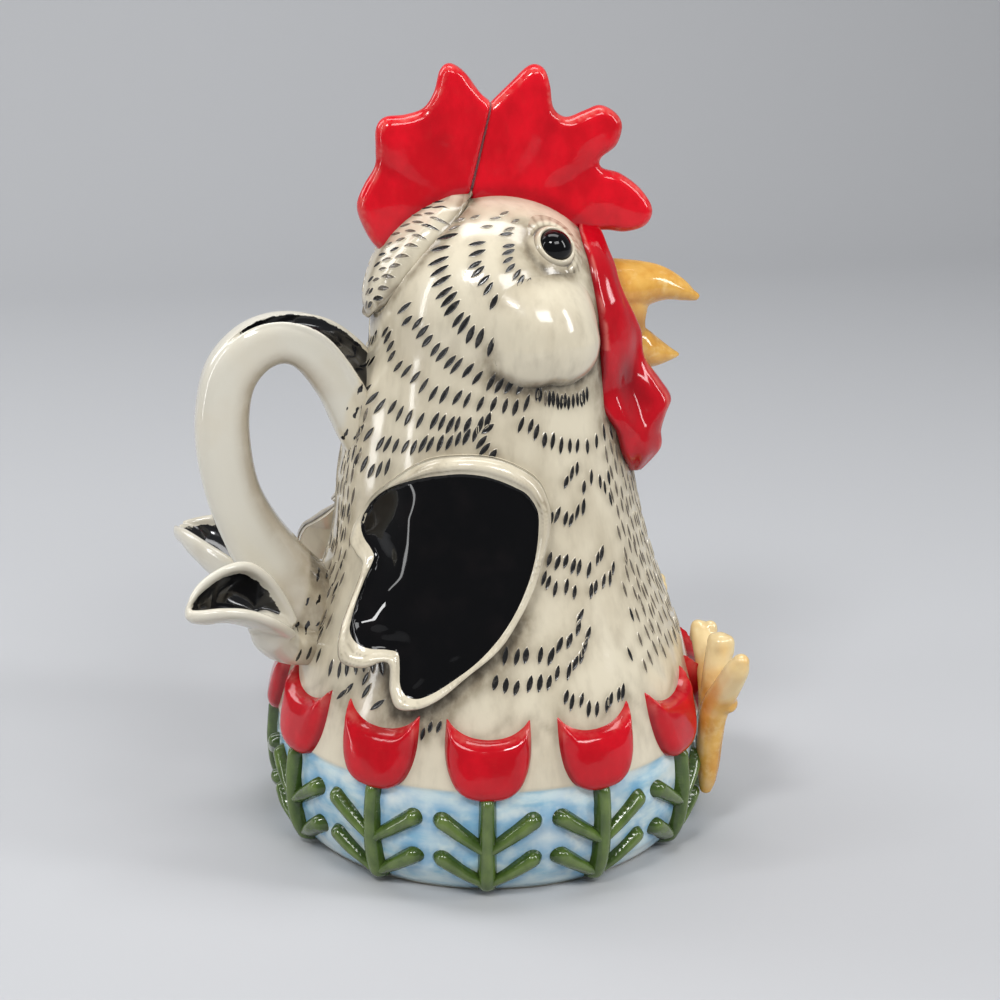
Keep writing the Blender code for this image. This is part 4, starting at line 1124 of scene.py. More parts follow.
def valley_share(flat, valleys, fade):
    """How far flat points lie in the valleys, each a start, an end, a width and a depth."""
    dent = np.zeros(len(flat))
    for start, end, width, deep in valleys:
        start, end = np.array(start, float), np.array(end, float)
        along = end - start
        t = np.clip(((flat - start) @ along) / (along @ along), 0, 1)
        away = np.linalg.norm(flat - start - t[:, None] * along, axis=1)
        dent = np.maximum(dent, deep * bell(away, 0, width) * (1 - smoothstep(fade, 1.0, t)))
    return dent


def comb(name, outline, valleys, base):
    """A rounded plate on the middle plane, with soft valleys running down from its notches.

    Its first edge is the flat cut between the comb's halves, and base is the radius of the ball it stands on.
    """
    start, end = np.array(outline[0], float), np.array(outline[1], float)
    flat_edge = np.linspace(start, end, 44)
    rest = resample(curve(outline[1:] + outline[:1], 8), 0.8, closed=False)
    loop = np.concatenate([flat_edge[:-1], rest[:-1]])
    flat, tris = flat_mesh(loop, 1.0, (shrunk(loop, 0.45),))
    gap = edge_distance(flat, rest, closed=False)
    cut_gap = edge_distance(flat, flat_edge, closed=False)
    round_off = rounded(gap, 3.4) * (0.82 + 0.18 * rounded(cut_gap, 1.2))
    thick = 3.7 + 0.5 * smoothstep(3, 10, gap)
    rough = 0.3 * wander(np.c_[flat, np.zeros(len(flat))], 11.0, 1.0)
    half = round_off * (thick - valley_share(flat, valleys, 0.55) + rough)
    size = len(flat)
    seam = gap < 1e-4
    shift = np.where(seam, np.arange(size), np.arange(size) + size)
    tris = [tuple(f) for f in tris if not seam[list(f)].all()]
    walls = [(k + 1, k, shift[k], shift[k + 1]) for k in range(len(flat_edge) - 1)]
    faces = tris + [tuple(shift[list(f)][::-1]) for f in tris] + [tuple(dict.fromkeys(f)) for f in walls]
    points = np.concatenate([np.stack([flat[:, 0], hand * half, flat[:, 1]], 1) for hand in (-1, 1)])
    used = np.unique(np.concatenate([np.ravel(f) for f in faces]))
    renumber = np.zeros(2 * size, int)
    renumber[used] = np.arange(len(used))
    points = points[used]
    faces = [tuple(renumber[list(f)]) for f in faces]
    obj = make(name, points, outward(points, faces), [red])
    carve(obj, ball("comb_base", base))
    obj.data.set_sharp_from_angle(angle=math.radians(60))
    spots = places(obj)
    gaps = edge_distance(spots[:, [0, 2]], rest, closed=False)
    # Painted shade at the comb's foot and in its valleys; a pale line of thin glaze and painted highlight
    # just inside the rounded edge
    foot = smoothstep(5.0, 0.5, np.linalg.norm(spots - HEAD, axis=1) - base - 2.0)
    paint(obj, wash=np.clip(0.35 * valley_share(spots[:, [0, 2]], valleys, 0.4) + 0.5 * foot, 0, 1),
          thin=smoothstep(1.9, 1.0, gaps) * smoothstep(0.2, 0.7, gaps))
    return obj


FRONT_VALLEYS = (((19.5, 229), (10, 203), 3.8, 0.6), ((33, 211), (12, 200), 3.6, 0.6),
                 ((4, 236), (4, 206), 2.6, 0.3))
REAR_VALLEYS = (((-20.5, 231), (-15, 205), 3.8, 0.6), ((-36.5, 213), (-20, 203), 3.6, 0.5),
                ((-6, 238), (-9, 210), 2.6, 0.3))
front_comb = comb("comb_front", FRONT_COMB, FRONT_VALLEYS, HEAD_R - 1.6)
rear_comb = comb("comb_rear", REAR_COMB, REAR_VALLEYS, HEAD_R + 0.3)
piece(front_comb, "pot", "red_glaze", "front_comb")
piece(rear_comb, "lid", "red_glaze", "rear_comb")

# ---------------------------------------------------------------- face and wattles

# T runs down the wattle and W from its rear edge to its front edge
steps = len(wattle_rows)
across = 44
T, W = np.meshgrid(np.linspace(-1 / 14, 1, steps), np.linspace(0, 1, across), indexing="ij")
base = wattle_rows[:, None, :3] * (1 - W[..., None]) + wattle_rows[:, None, 3:6] * W[..., None]
turn_by = np.clip((T - 0.35) / 0.25, 0, 1)[..., None]
out = unit(unit((0.62, -0.78, 0)) * (1 - turn_by) + unit((0.12, -0.99, 0)) * turn_by)
relief = []
for row in wattle_rows:
    a1, b1, c1 = row[6:]
    shape = curve(((0, 0), (0.035, 0.5 * a1), (0.1, 0.78 * a1), (0.25, a1), (0.5, b1), (0.75, c1),
                   (0.9, 0.78 * c1), (0.965, 0.5 * c1), (1, 0)), 8)
    relief.append(np.interp(W[0], shape[:, 0], shape[:, 1]))
relief = np.array(relief) + 0.9 * bell(W, 0.88, 0.07) * smoothstep(0.3, 0.5, T) * smoothstep(0.85, 0.7, T)
edge = np.clip(np.minimum(W, 1 - W) / 0.1, 0, 1)
skin = base + out * relief[..., None]
skin_rough = wander(skin.reshape(-1, 3), 10.0, 3.0).reshape(T.shape)
skin = skin + out * (0.35 * skin_rough * edge)[..., None]
hold = np.clip(-base[..., 1] - 7.0, 0.3, 9.0) * edge
behind = base + np.stack([np.zeros_like(hold), hold, np.zeros_like(hold)], -1)
front_faces = grid_faces(steps, across, False)
count = steps * across
border = ([i * across for i in range(steps)] + [(steps - 1) * across + j for j in range(1, across)]
          + [i * across + across - 1 for i in range(steps - 2, -1, -1)] + list(range(across - 2, 0, -1)))
wattle_faces = [tuple(f) for f in front_faces] + [tuple(count + k for k in f[::-1]) for f in front_faces]
wattle_faces += [(a1, b1, count + b1, count + a1) for a1, b1 in zip(border, border[1:] + border[:1])]
wattle_points = np.concatenate([skin.reshape(-1, 3), behind.reshape(-1, 3)])
wattle_faces = outward(wattle_points, wattle_faces)
# Darker red all over, with painted shade in the pit and along the rear edge against the head; pale thin glaze
# and painted highlight along the ridge by the front edge and the upper rear edge
pit = smoothstep(0.42, 0.58, T) * bell(W, 0.5, 0.22) * bell(T, 0.61, 0.12)
wattle_wash = 0.45 + 0.55 * pit + 0.4 * smoothstep(0.1, 0.0, W)
wattle_wash = np.concatenate([wattle_wash.ravel(), np.full(count, 0.6)])
wattle_thin = bell(W, 0.9, 0.035) * 0.8 + bell(W, 0.06, 0.03) * (T < 0.5)
wattle_thin = np.concatenate([wattle_thin.ravel(), np.zeros(count)])
for side, points, faces in sides(wattle_points, wattle_faces):
    wattle = make(f"wattle_lobe_{side}", points, faces, [red])
    paint(wattle, wash=wattle_wash, thin=wattle_thin)
    ease(wattle, 3)
    piece(wattle, "pot", "red_glaze", f"wattle_{side}")

# ---------------------------------------------------------------- beak

# Stations of the beak's halves: x, z, half height and half width
BEAK_UPPER = ((30, 171.5, 9.5, 10.5), (46, 172.2, 7.2, 8.2), (54.5, 172.3, 5.1, 6), (61.3, 170, 3.3, 3.8),
              (65.2, 167.9, 1.5, 1.6))
BEAK_LOWER = ((30, 154.5, 8, 9.5), (46.5, 153.2, 7.6, 7.4), (52.5, 151, 5, 5.6), (57.4, 149.8, 2.3, 2.9),
              (59.8, 149.4, 1.0, 1.2))


def horn(stations, ridge, columns=44):
    """One half of the beak with a rounded tip. ridge is 1 for a keel along its top."""
    turns = round_turn(columns)
    keel = 1 + 0.10 * ridge * bell(turns, math.pi / 2, 0.4)
    rings = [np.stack([np.full(columns, x), wide * np.cos(turns), z + tall * keel * np.sin(turns)], 1)
             for x, z, tall, wide in curve(stations, 9)]
    tip = rings[-1]
    middle = tip.mean(0)
    reach = float(np.ptp(tip[:, 2])) / 2
    for share, ahead in ((0.86, 0.4), (0.6, 0.75), (0.25, 0.95)):
        rings.append(middle + (tip - middle) * share + (reach * ahead, 0, 0))
    points, faces = loft(rings)
    return points, outward(points, faces)


# A short post joins the two halves behind the mouth
web_turns = round_turn(40)
web = loft([np.stack([42.4 + 7.2 * np.cos(web_turns), 7.6 * np.sin(web_turns), np.full(40, float(z))], 1)
            for z in range(154, 171, 2)])
beak_points, beak_faces = join([horn(BEAK_UPPER, 1), horn(BEAK_LOWER, 0), (web[0], outward(*web))])
beak = make("beak", beak_points, beak_faces, [amber])
fuse(beak, 0.55, 6)
carve(beak, bore("bore", (20.0, 40.0, 54.0)), ball("back", HEAD_R - 1.2))
spots = places(beak)
# Painted shade in the mouth and at the beak's root against the head
mouth_near = bell(spots[:, 2], 161, 4.5) * smoothstep(52, 45, spots[:, 0])
paint(beak, wash=np.clip(0.9 * mouth_near + 0.5 * smoothstep(42, 37, axis_gap(spots)), 0, 1), pale=0)
coat(beak, amber)
piece(beak, "pot", "amber_glaze", "beak_upper", "beak_lower")

# ---------------------------------------------------------------- eyes and cheeks

# The lid round the eye from inside out: distance from the eye's middle and height
EYE_RING = ((5.1, -1.0), (5.15, 1.2), (5.35, 1.75), (5.75, 1.95), (6.2, 1.7), (6.6, 1.05), (7.0, 0.5),
            (7.5, 0.55), (8.3, 0.7), (9.3, 0.5), (10.5, 0.12), (12.0, -0.4), (11.5, -1.6), (6.0, -2.2))
EYE_R = 5.5
EYE_COLUMNS = 120
CHEEK_COLUMNS = 110
ring_rows = curve(EYE_RING, 5)
ring_turns = round_turn(EYE_COLUMNS)


def around_eye(reach, high, turn):
    """Places round the eye on the head's curve. The rings are narrower in front."""
    spoke = eye_side * np.cos(turn)[:, None] + eye_up * np.sin(turn)[:, None]
    reach = reach * (1 - 0.2 * np.clip(np.cos(turn), 0, 1) ** 2 * smoothstep(6.0, 8.0, reach))
    drop = -(reach**2) / (2 * HEAD_R)
    return EYE + spoke * np.reshape(reach, (-1, 1)) + eye_out * np.reshape(high + drop, (-1, 1))


rings = []
for reach, high in ring_rows:
    wrinkle = 0.04 * np.sin(ring_turns * 17 + 2.2 * np.sin(ring_turns * 3))
    wrinkle = wrinkle * smoothstep(7.0, 8.0, reach) * smoothstep(11.0, 9.0, reach)
    rings.append(around_eye(np.full(EYE_COLUMNS, reach), high + wrinkle, ring_turns))
rows = len(rings)
ring_points = np.concatenate(rings)
ring_points = ring_points + 0.06 * wander(ring_points, 5.0, 6.0)[:, None] * eye_out
# The last ring is joined to the first, which closes the lid
closing = grid_faces(rows + 1, EYE_COLUMNS, True) % (rows * EYE_COLUMNS)
ring_faces = outward(ring_points, [tuple(f) for f in closing])
flat_reach = np.repeat(ring_rows[:, 0], EYE_COLUMNS)
ring_turn = np.tile(ring_turns, rows)
# Wash and painted shade on the eye's lid: painted shade in its groove, against the eyeball and over the
# folds, darkest at the lower rear; fine radial lines over the folds
rear_low = 0.5 + 0.5 * np.cos(ring_turn - 3.7)
folds = smoothstep(6.6, 8.2, flat_reach) * smoothstep(11.8, 9.0, flat_reach)
ring_wash = np.clip(0.12 + (0.6 + 0.4 * rear_low) * bell(flat_reach, 7.0, 0.5) + 0.85 * rear_low**2 * folds
                    + 0.3 * smoothstep(8.6, 9.6, flat_reach) + 0.9 * smoothstep(5.2, 4.9, flat_reach)
                    + 0.3 * np.clip(np.sin(ring_turn * 23 + flat_reach), 0, 1) * smoothstep(7, 8, flat_reach),
                    0, 1)
eye_rows = [(EYE_R * math.sin(t), EYE_R * math.cos(t)) for t in np.linspace(0.02, 2.2, 36)]
eye_points, eye_faces = loft([around_eye(np.full(64, r), h - 1.0 + r * r / (2 * HEAD_R), round_turn(64))
                              for r, h in eye_rows])
eye_faces = outward(eye_points, eye_faces)

cheek_rows = np.linspace(0.02, 1.0, 44)
cheek_turn = round_turn(CHEEK_COLUMNS)
ahead, rise = np.cos(cheek_turn), np.sin(cheek_turn)
rings = []
cheek_shade = []
for share in cheek_rows:
    u, v = cheek_flat(share * cheek_reach(cheek_turn), cheek_turn)
    steep = 0.58 + 1.5 * smoothstep(-0.1, 0.9, rise) + 1.0 * smoothstep(0.1, 1, -ahead)
    high = 7.0 * (1 - share**2) ** steep - 0.5 * share**6
    rings.append(surface(CHEEK_ANGLE + np.degrees(u / HEAD_R), run_at(CHEEK_Z) + v, high))
    # Painted shade on the lower, overhanging edge of the cheek, joined to the wash and painted shade of the
    # head round it
    dark = smoothstep(0.62, 1.0, share) * smoothstep(0.2, -0.6, rise - 0.25 * ahead)
    cheek_shade.append(0.95 * dark)
sunk = HEAD + (rings[-1] - HEAD) * 0.93
cheek_points, cheek_faces = loft(rings + [sunk])
cheek_faces = outward(cheek_points, cheek_faces)
around = wash_at(np.concatenate(rings), hollows)
around = around * np.repeat(smoothstep(0.45, 0.95, cheek_rows), CHEEK_COLUMNS)
cheek_wash = np.concatenate([np.maximum(np.ravel(cheek_shade), around), np.ones(CHEEK_COLUMNS), [0, 0]])
for name, node, points, faces, material, slot, wash in (
        ("eye_lid", "eye_ring", ring_points, ring_faces, cream, "cream_glaze", ring_wash),
        ("eye_ball", "eye", eye_points, eye_faces, black, "black_glaze", 0),
        ("cheek_dome", "cheek", cheek_points, cheek_faces, cream, "cream_glaze", cheek_wash)):
    for side, points, faces in sides(points, faces):
        obj = make(f"{name}_{side}", points, faces, [material])
        paint(obj, wash=wash, band=0, pool=0, thin=0)
        piece(obj, "pot", slot, f"{node}_{side}")

# ---------------------------------------------------------------- wings

flat, tris = flat_mesh(wing_loop, WING_STEP, (panel_loop, shrunk(panel_loop, 0.8), shrunk(wing_loop, 0.3),
                                              shrunk(wing_loop, 0.8)))
gap = edge_distance(flat, wing_loop)
panel_gap = edge_distance(flat, panel_loop)
in_panel = inside(flat, panel_loop) & (panel_gap > 1e-3)
# bead runs from 0 on the wing's edge to 1 on the edge of the black panel
bead = np.where(panel_gap < 1e-3, 1.0, gap / np.maximum(gap + panel_gap, 1e-6))
bead_high = 1.7 + 3.2 * rounded(bead, 0.5) - 1.5 * smoothstep(0.5, 1.0, bead)
left = smoothstep(-24, -34, flat[:, 0])
ripple = (0.3 * np.sin(flat[:, 1] / 3.4 + 0.12 * flat[:, 0]) + 0.1 * np.sin(flat[:, 1] / 1.5)) * left
panel_high = 3.1 + 1.5 * smoothstep(0.5, 9, panel_gap) + ripple * smoothstep(0.8, 5, panel_gap)
panel_high = panel_high - 1.5 * left * smoothstep(8, 0.3, panel_gap) * smoothstep(78, 86, flat[:, 1])
high = np.where(in_panel, panel_high, bead_high)
high = high * (1 - 0.62 * smoothstep(-22, -36, flat[:, 0]) * smoothstep(90, 97, flat[:, 1]))
front = wing_place(flat, high)
rear_side = wing_place(flat, np.full(len(flat), -0.3))
middles = flat[np.array(tris)].mean(1)
black_face = inside(middles, panel_loop)
size = len(flat)
rim_count = len(wing_loop)
wing_faces = [tuple(f) for f in tris] + [tuple(k + size for k in f[::-1]) for f in tris]
wing_faces += [((k + 1) % rim_count, k, k + size, (k + 1) % rim_count + size) for k in range(rim_count)]
wing_slots = np.concatenate([np.where(black_face, 1, 0), np.zeros(len(tris) + rim_count, int)])
wing_points = np.concatenate([front, rear_side])
wing_faces = outward(wing_points, wing_faces)
drift = 0.06 * wander(np.c_[flat, np.zeros(size)], 16.0, 2.0)
lines = sum(deep * bell(bead + drift, at, 0.045) for at, deep in ((0.24, 0.5), (0.46, 0.35), (0.72, 0.5)))
lines = np.clip(lines * (0.5 + wander(np.c_[flat, np.zeros(size)], 9.0, 3.0)), 0, 1)
# Brush lines in the rim's glaze, and painted shade along the rim's outer edge that grows towards the bottom
rim_wash = np.where(in_panel, 0, lines + 0.1
                    + 0.75 * smoothstep(0.2, 0.0, bead) * smoothstep(120, 85, flat[:, 1]))
wing_wash = np.concatenate([rim_wash, np.full(size, 0.12)])
for side, points, faces in sides(wing_points, wing_faces):
    wing = make(f"wing_panel_{side}", points, faces, [cream, black], wing_slots)
    paint(wing, wash=wing_wash, band=0, pool=0, thin=0)
    piece(wing, "pot", "black_glaze", f"wing_{side}")

# ---------------------------------------------------------------- handle

# The handle's middle line from its upper root: x, z and radius
HANDLE = ((-31, 121, 13), (-38.5, 134, 12), (-45.7, 147, 10.4), (-55, 157.3, 8.9), (-64.2, 160.5, 7.9),
          (-73.4, 157.8, 8), (-80.5, 150, 8.3), (-83.4, 139, 8.4), (-83.4, 126, 8.6), (-80.8, 112, 8.8),
          (-75.6, 99.3, 9.5), (-69.6, 88.5, 10.8), (-62, 78, 12.4), (-52, 67, 13.4))
line = curve(HANDLE, 16)
ahead = unit(np.gradient(line[:, :2], axis=0))
travel = np.concatenate([[0], np.cumsum(np.linalg.norm(np.diff(line[:, :2], axis=0), axis=1))])
normal = np.stack([ahead[:, 1], -ahead[:, 0]], 1)
HANDLE_COLUMNS = 112
CHANNEL_COLUMNS = 20
CHANNEL_END = 68.0
share = np.arange(HANDLE_COLUMNS) / HANDLE_COLUMNS * 2 - 1
inner_share = CHANNEL_COLUMNS / HANDLE_COLUMNS * 2
rings, handle_wash, handle_ink = [], [], []
for index, (x, z, r) in enumerate(line):
    width = 0.07 + 0.60 * smoothstep(CHANNEL_END, 22.0, travel[index])
    outside = width + (np.abs(share) - inner_share) / (1 - inner_share) * (math.pi - width)
    round_by = np.where(np.abs(share) < inner_share, share / inner_share * width, np.sign(share) * outside)
    turn = round_by - 0.6
    open_by = smoothstep(CHANNEL_END, CHANNEL_END - 10, travel[index])
    across_by = np.abs(round_by) / width
    dip = -2.6 * open_by * np.maximum(1 - across_by**2, 0) + 1.3 * open_by * bell(across_by, 1.15, 0.16)
    flat_r = np.power(np.abs(np.cos(turn)) ** 3.0 + np.abs(np.sin(turn)) ** 3.0, -1 / 3.0)
    reach = r * (0.94 * flat_r + 0.03) + dip
    bend = normal[index]
    rings.append(np.stack([x + bend[0] * reach * np.cos(turn), reach * np.sin(turn) * 0.98,
                           z + bend[1] * reach * np.cos(turn)], 1))
    # Painted shade on the loop's inner face, and towards its lower root against the body
    inward = smoothstep(-0.2, -0.8, np.cos(turn)) * smoothstep(26, 40, travel[index]) * 0.7
    handle_wash.append(np.clip(inward * smoothstep(175, 120, travel[index])
                               + 0.5 * smoothstep(9, 0, travel[-1] - travel[index] - 22), 0, 1))
    handle_ink.append(smoothstep(1.06, 0.9, across_by)
                      * smoothstep(CHANNEL_END, CHANNEL_END - 8, travel[index]))
rings = np.array(rings)
lumps = wander(rings.reshape(-1, 3), 24.0, 8.0).reshape(rings.shape[:2])
middles = np.stack([line[:, 0], np.zeros(len(line)), line[:, 1]], 1)[:, None, :]
rings = rings + (rings - middles) * (0.035 * lumps)[..., None]
points, faces = loft(rings)
handle = make("handle_loop", points, outward(points, faces), [ivory])
paint(handle, wash=capped(handle_wash), ink=np.maximum(capped(handle_ink), root_strokes(points)),
      root=root_share(points))
# What lies deeper than this in the body is cut off the handle and the feathers
inner_body = [(max(r - 2.0, 0.2), z) for z, r in BODY_ROWS] + [(30, 176), (14, 188)]
plug_points, plug_faces = turned(inner_body, 64)
plug_faces = outward(plug_points, plug_faces)
carve(handle, make("plug", plug_points, plug_faces))
piece(handle, "pot", "ivory_glaze", "handle")

# ---------------------------------------------------------------- tail feathers

# Feather rows from root to tip: near edge, far edge and depth of the hollow between them
TAIL_RIGHT = ((-66.6, -22, 72.3, -65.8, -18, 75, 4), (-70.4, -26.5, 76.9, -68.8, -18.5, 82.3, 7),
              (-76.2, -31, 81.9, -73.5, -19.5, 90.2, 9), (-82.7, -34.5, 85.4, -79.4, -21.5, 95.3, 10),
              (-89.1, -37.2, 87, -86.6, -26, 96.2, 8.5), (-94.4, -37.8, 87, -94.3, -31, 93.2, 5),
              (-99, -37.2, 87.1, -98.9, -36.2, 88.8, 1))
TAIL_LEFT = ((-56.3, 4.2, 65.8, -55.8, 14.2, 65.8, 6), (-62.9, 3, 68.2, -60.9, 14.8, 68.2, 8),
             (-68, 0, 73.2, -60, 12.6, 73.2, 11), (-77.8, 2.4, 83.8, -63.2, 15.8, 83.8, 13),
             (-89.2, 13.3, 89.4, -72.6, 28.9, 89.4, 9.5), (-94.8, 24, 90.4, -83.6, 36.4, 90.4, 6),
             (-97, 33.4, 88.6, -93.9, 37.5, 88.6, 1.6))
# The right feather's stalk: places and radius
TAIL_STALK = ((-57, -10.5, 63, 6), (-65, -12.5, 64.8, 6), (-69.5, -16, 67.8, 6), (-72.5, -19.5, 72.6, 6.4),
              (-74.6, -21.6, 75.6, 5.2))


def feather_shell(table):
    """A hollow feather with rounded rims, with the share of ink at each point."""
    rows = curve(table, 12)
    middles = (rows[:, :3] + rows[:, 3:6]) / 2
    arc, lip = 40, 9
    bend = np.radians(np.linspace(-90, 90, arc))
    cap = np.linspace(0, math.pi, lip + 2)[1:-1]
    rings, ink_share = [], []
    for index, row in enumerate(rows):
        way = unit(middles[min(index + 1, len(rows) - 1)] - middles[max(index - 1, 0)])
        half = (row[3:6] - row[:3]) / 2
        reach = np.linalg.norm(half)
        across = half / reach
        open_way = unit(np.cross(across, way))
        deep = row[6]
        thick = min(3.4, 1.5 * reach)
        share = index / (len(rows) - 1)
        fill = (deep + 0.5 * thick) * smoothstep(0.84, 0.99, share)
        inner = np.stack([(reach - thick / 2) * np.sin(bend), (fill - deep) * np.cos(bend)], 1)
        outer = np.stack([(reach + thick / 2) * np.sin(bend), -(deep + thick) * np.cos(bend)], 1)
        far_cap = np.stack([reach + thick / 2 * np.cos(cap), 0.6 * thick * np.sin(cap)], 1)
        near_cap = np.stack([-reach + thick / 2 * np.cos(cap), 0.6 * thick * np.sin(cap)], 1)
        ring = np.concatenate([outer, far_cap, inner[::-1], near_cap])
        rings.append(middles[index] + ring[:, :1] * across + ring[:, 1:] * open_way)
        dark = (smoothstep(1.5, 1.3, np.abs(bend)) * smoothstep(0.04, 0.16, share)
                * smoothstep(0.98, 0.86, share))
        ink_share.append(np.concatenate([np.zeros(arc + lip), dark, np.zeros(lip)]))
    points, faces = loft(rings)
    return points, outward(points, faces), capped(ink_share)


def limb(stations, columns=28):
    """A round-ended tube through rows of place and radius."""
    rows = curve(stations, 8)
    rings = []
    turns = round_turn(columns)[:, None]
    for index, row in enumerate(rows):
        way = unit(rows[min(index + 1, len(rows) - 1)][:3] - rows[max(index - 1, 0)][:3])
        side = unit(np.cross(way, (1, 0.2, 0)))
        up = np.cross(way, side)
        rings.append(row[:3] + row[3] * (side * np.cos(turns) + up * np.sin(turns)))
    tip, root = [[end[:3] + (ring - end[:3]) * share + unit(end[:3] - before[:3]) * end[3] * ahead
                  for share, ahead in ((0.86, 0.5), (0.55, 0.84), (0.2, 0.98))]
                 for end, before, ring in ((rows[-1], rows[-2], rings[-1]), (rows[0], rows[1], rings[0]))]
    points, faces = loft(root[::-1] + rings + tip)
    return points, outward(points, faces)


for side, table, stalks in (("right", TAIL_RIGHT, [TAIL_STALK]), ("left", TAIL_LEFT, [])):
    points, faces, ink_share = feather_shell(table)
    tree = tree_of(points)
    points, faces = join([(points, faces)] + [limb(stalk) for stalk in stalks])
    feather = make(f"tail_plume_{side}", points, faces, [ivory])
    fuse(feather, 0.45, 4)
    carve(feather, make("plug", plug_points, plug_faces))
    spots = places(feather)
    # The ink is carried over from the nearest points of the feather before it was fused
    near = [tree.find_n(Vector(spot), 6) for spot in spots]
    weights = [np.array([1 / (hit[2] + 0.15) for hit in hits]) for hits in near]
    dark = np.array([(ink_share[[hit[1] for hit in hits]] @ weight) / weight.sum() * (hits[0][2] < 1.2)
                     for hits, weight in zip(near, weights)])
    # Painted shade near the body at the root, and darker patches at random
    wash = 0.55 * smoothstep(8.0, 1.0, off_body(spots)) + 0.3 * np.clip(wander(spots, 9.0, 4.0), 0, 1)
    paint(feather, ink=np.maximum(dark, root_strokes(spots)), root=root_share(spots),
          wash=np.clip(wash, 0, 1))
    coat(feather, ivory)
    piece(feather, "pot", "ivory_glaze", f"tail_feather_{side}")

# ---------------------------------------------------------------- tulips and their stems

flat, tris = flat_mesh(tulip_loop, 0.75, (shrunk(tulip_loop, 0.35), shrunk(tulip_loop, 0.9)))
gap = edge_distance(flat, tulip_loop)
pillow = rounded(gap, 5.6)
tulip_high = -0.5 + 4.6 * pillow + 1.3 * smoothstep(47, 57, flat[:, 1]) * smoothstep(0.0, 2.6, gap)
# A pale line of thin glaze and painted highlight inside the edge, mostly along the top; darker red all over,
# with painted shade along the sides and bottom edge
top_edge = smoothstep(49, 54, flat[:, 1])
tulip_thin = bell(gap, 0.7, 0.4) * (0.1 + 0.9 * top_edge)
tulip_wash = 0.3 + 0.5 * bell(gap, 0.2, 0.6) * (1 - top_edge)
for index, angle in enumerate(TULIPS):
    points = border_place(flat, tulip_high, angle)
    points = points + (0.4 * wander(points, 11.0, 5.0) * pillow)[:, None] * unit(points * (1, 1, 0))
    tulip = make(f"tulip_bloom_{index + 1:02d}", points, outward(points, tris), [red])
    paint(tulip, thin=tulip_thin, wash=tulip_wash)
    piece(tulip, "pot", "red_glaze", f"tulip_{index + 1:02d}")

bars = []
for bar, high in [(item, 2.9) for item in leaf_bars] + [(stem_bar, 3.4)]:
    outline = capsule(*bar)
    flat_bar, tris_bar = flat_mesh(outline, 0.62)
    hump = rounded(edge_distance(flat_bar, outline), max(bar[2], bar[3]))
    bars.append((flat_bar, tris_bar, -0.9 + (high + 0.6) * hump, hump))
for index, angle in enumerate(TULIPS):
    parts, thin, wash = [], [], []
    for flat_bar, tris_bar, high, hump in bars:
        points = border_place(flat_bar, high, angle)
        points = points + (0.3 * wander(points, 6.0, 7.0) * hump)[:, None] * unit(points * (1, 1, 0))
        parts.append((points, tris_bar))
        # Pale thin glaze and painted highlight on the tops, painted shade along the edges
        thin.append(0.8 * smoothstep(0.72, 0.98, hump) * (0.5 + 0.5 * wander(points, 5.0, 1.0)))
        wash.append(0.8 * smoothstep(0.75, 0.3, hump))
    points, faces = join(parts)
    sprig = make(f"stem_leaves_{index + 1:02d}", points, faces, [green])
    paint(sprig, thin=np.concatenate(thin), wash=np.concatenate(wash))
    piece(sprig, "pot", "green_glaze", f"sprig_{index + 1:02d}")

# ---------------------------------------------------------------- feet

# Limbs of a foot: distance from the axis, sideways distance, height and radius
FOOT_FAR = 74
FOOT_OUTER = ((73.5, 0, 15.6, 2.2), (74, 0, 22, 3.6), (74.2, 0, 33, 4.3), (75.7, -1, 44, 4.6),
              (79.2, -3, 52, 4.4), (82.7, -4.5, 59.5, 3.8), (83.8, -5, 62.4, 2.8))
FOOT_MIDDLE = ((74, 0, 36, 3.8), (74, 4, 50, 4.2), (74.4, 7, 58.5, 4.4), (74.5, 7.6, 62, 4.2))
FOOT_INNER = ((74, 0, 36, 3.8), (71.8, 8, 47, 3.9), (68.4, 16, 55, 4), (66, 21.4, 59.4, 4.2))
FOOT_KNUCKLE = ((77.0, -0.6, 43.5, 1.0), (78.9, -1.3, 46.4, 3.9), (78.6, -2.0, 49.2, 1.6))
FOOT_NAILS = (((72.9, 7.4, 60, 2.6), (72.8, 7.5, 63.4, 2.5)),
              ((76.6, 7.4, 60, 2.6), (76.7, 7.5, 63.2, 2.5)),
              ((64.2, 21, 58, 2.6), (64.2, 21.2, 61.6, 2.4)),
              ((68.2, 21, 58, 2.6), (68.3, 21.2, 61.8, 2.4)))

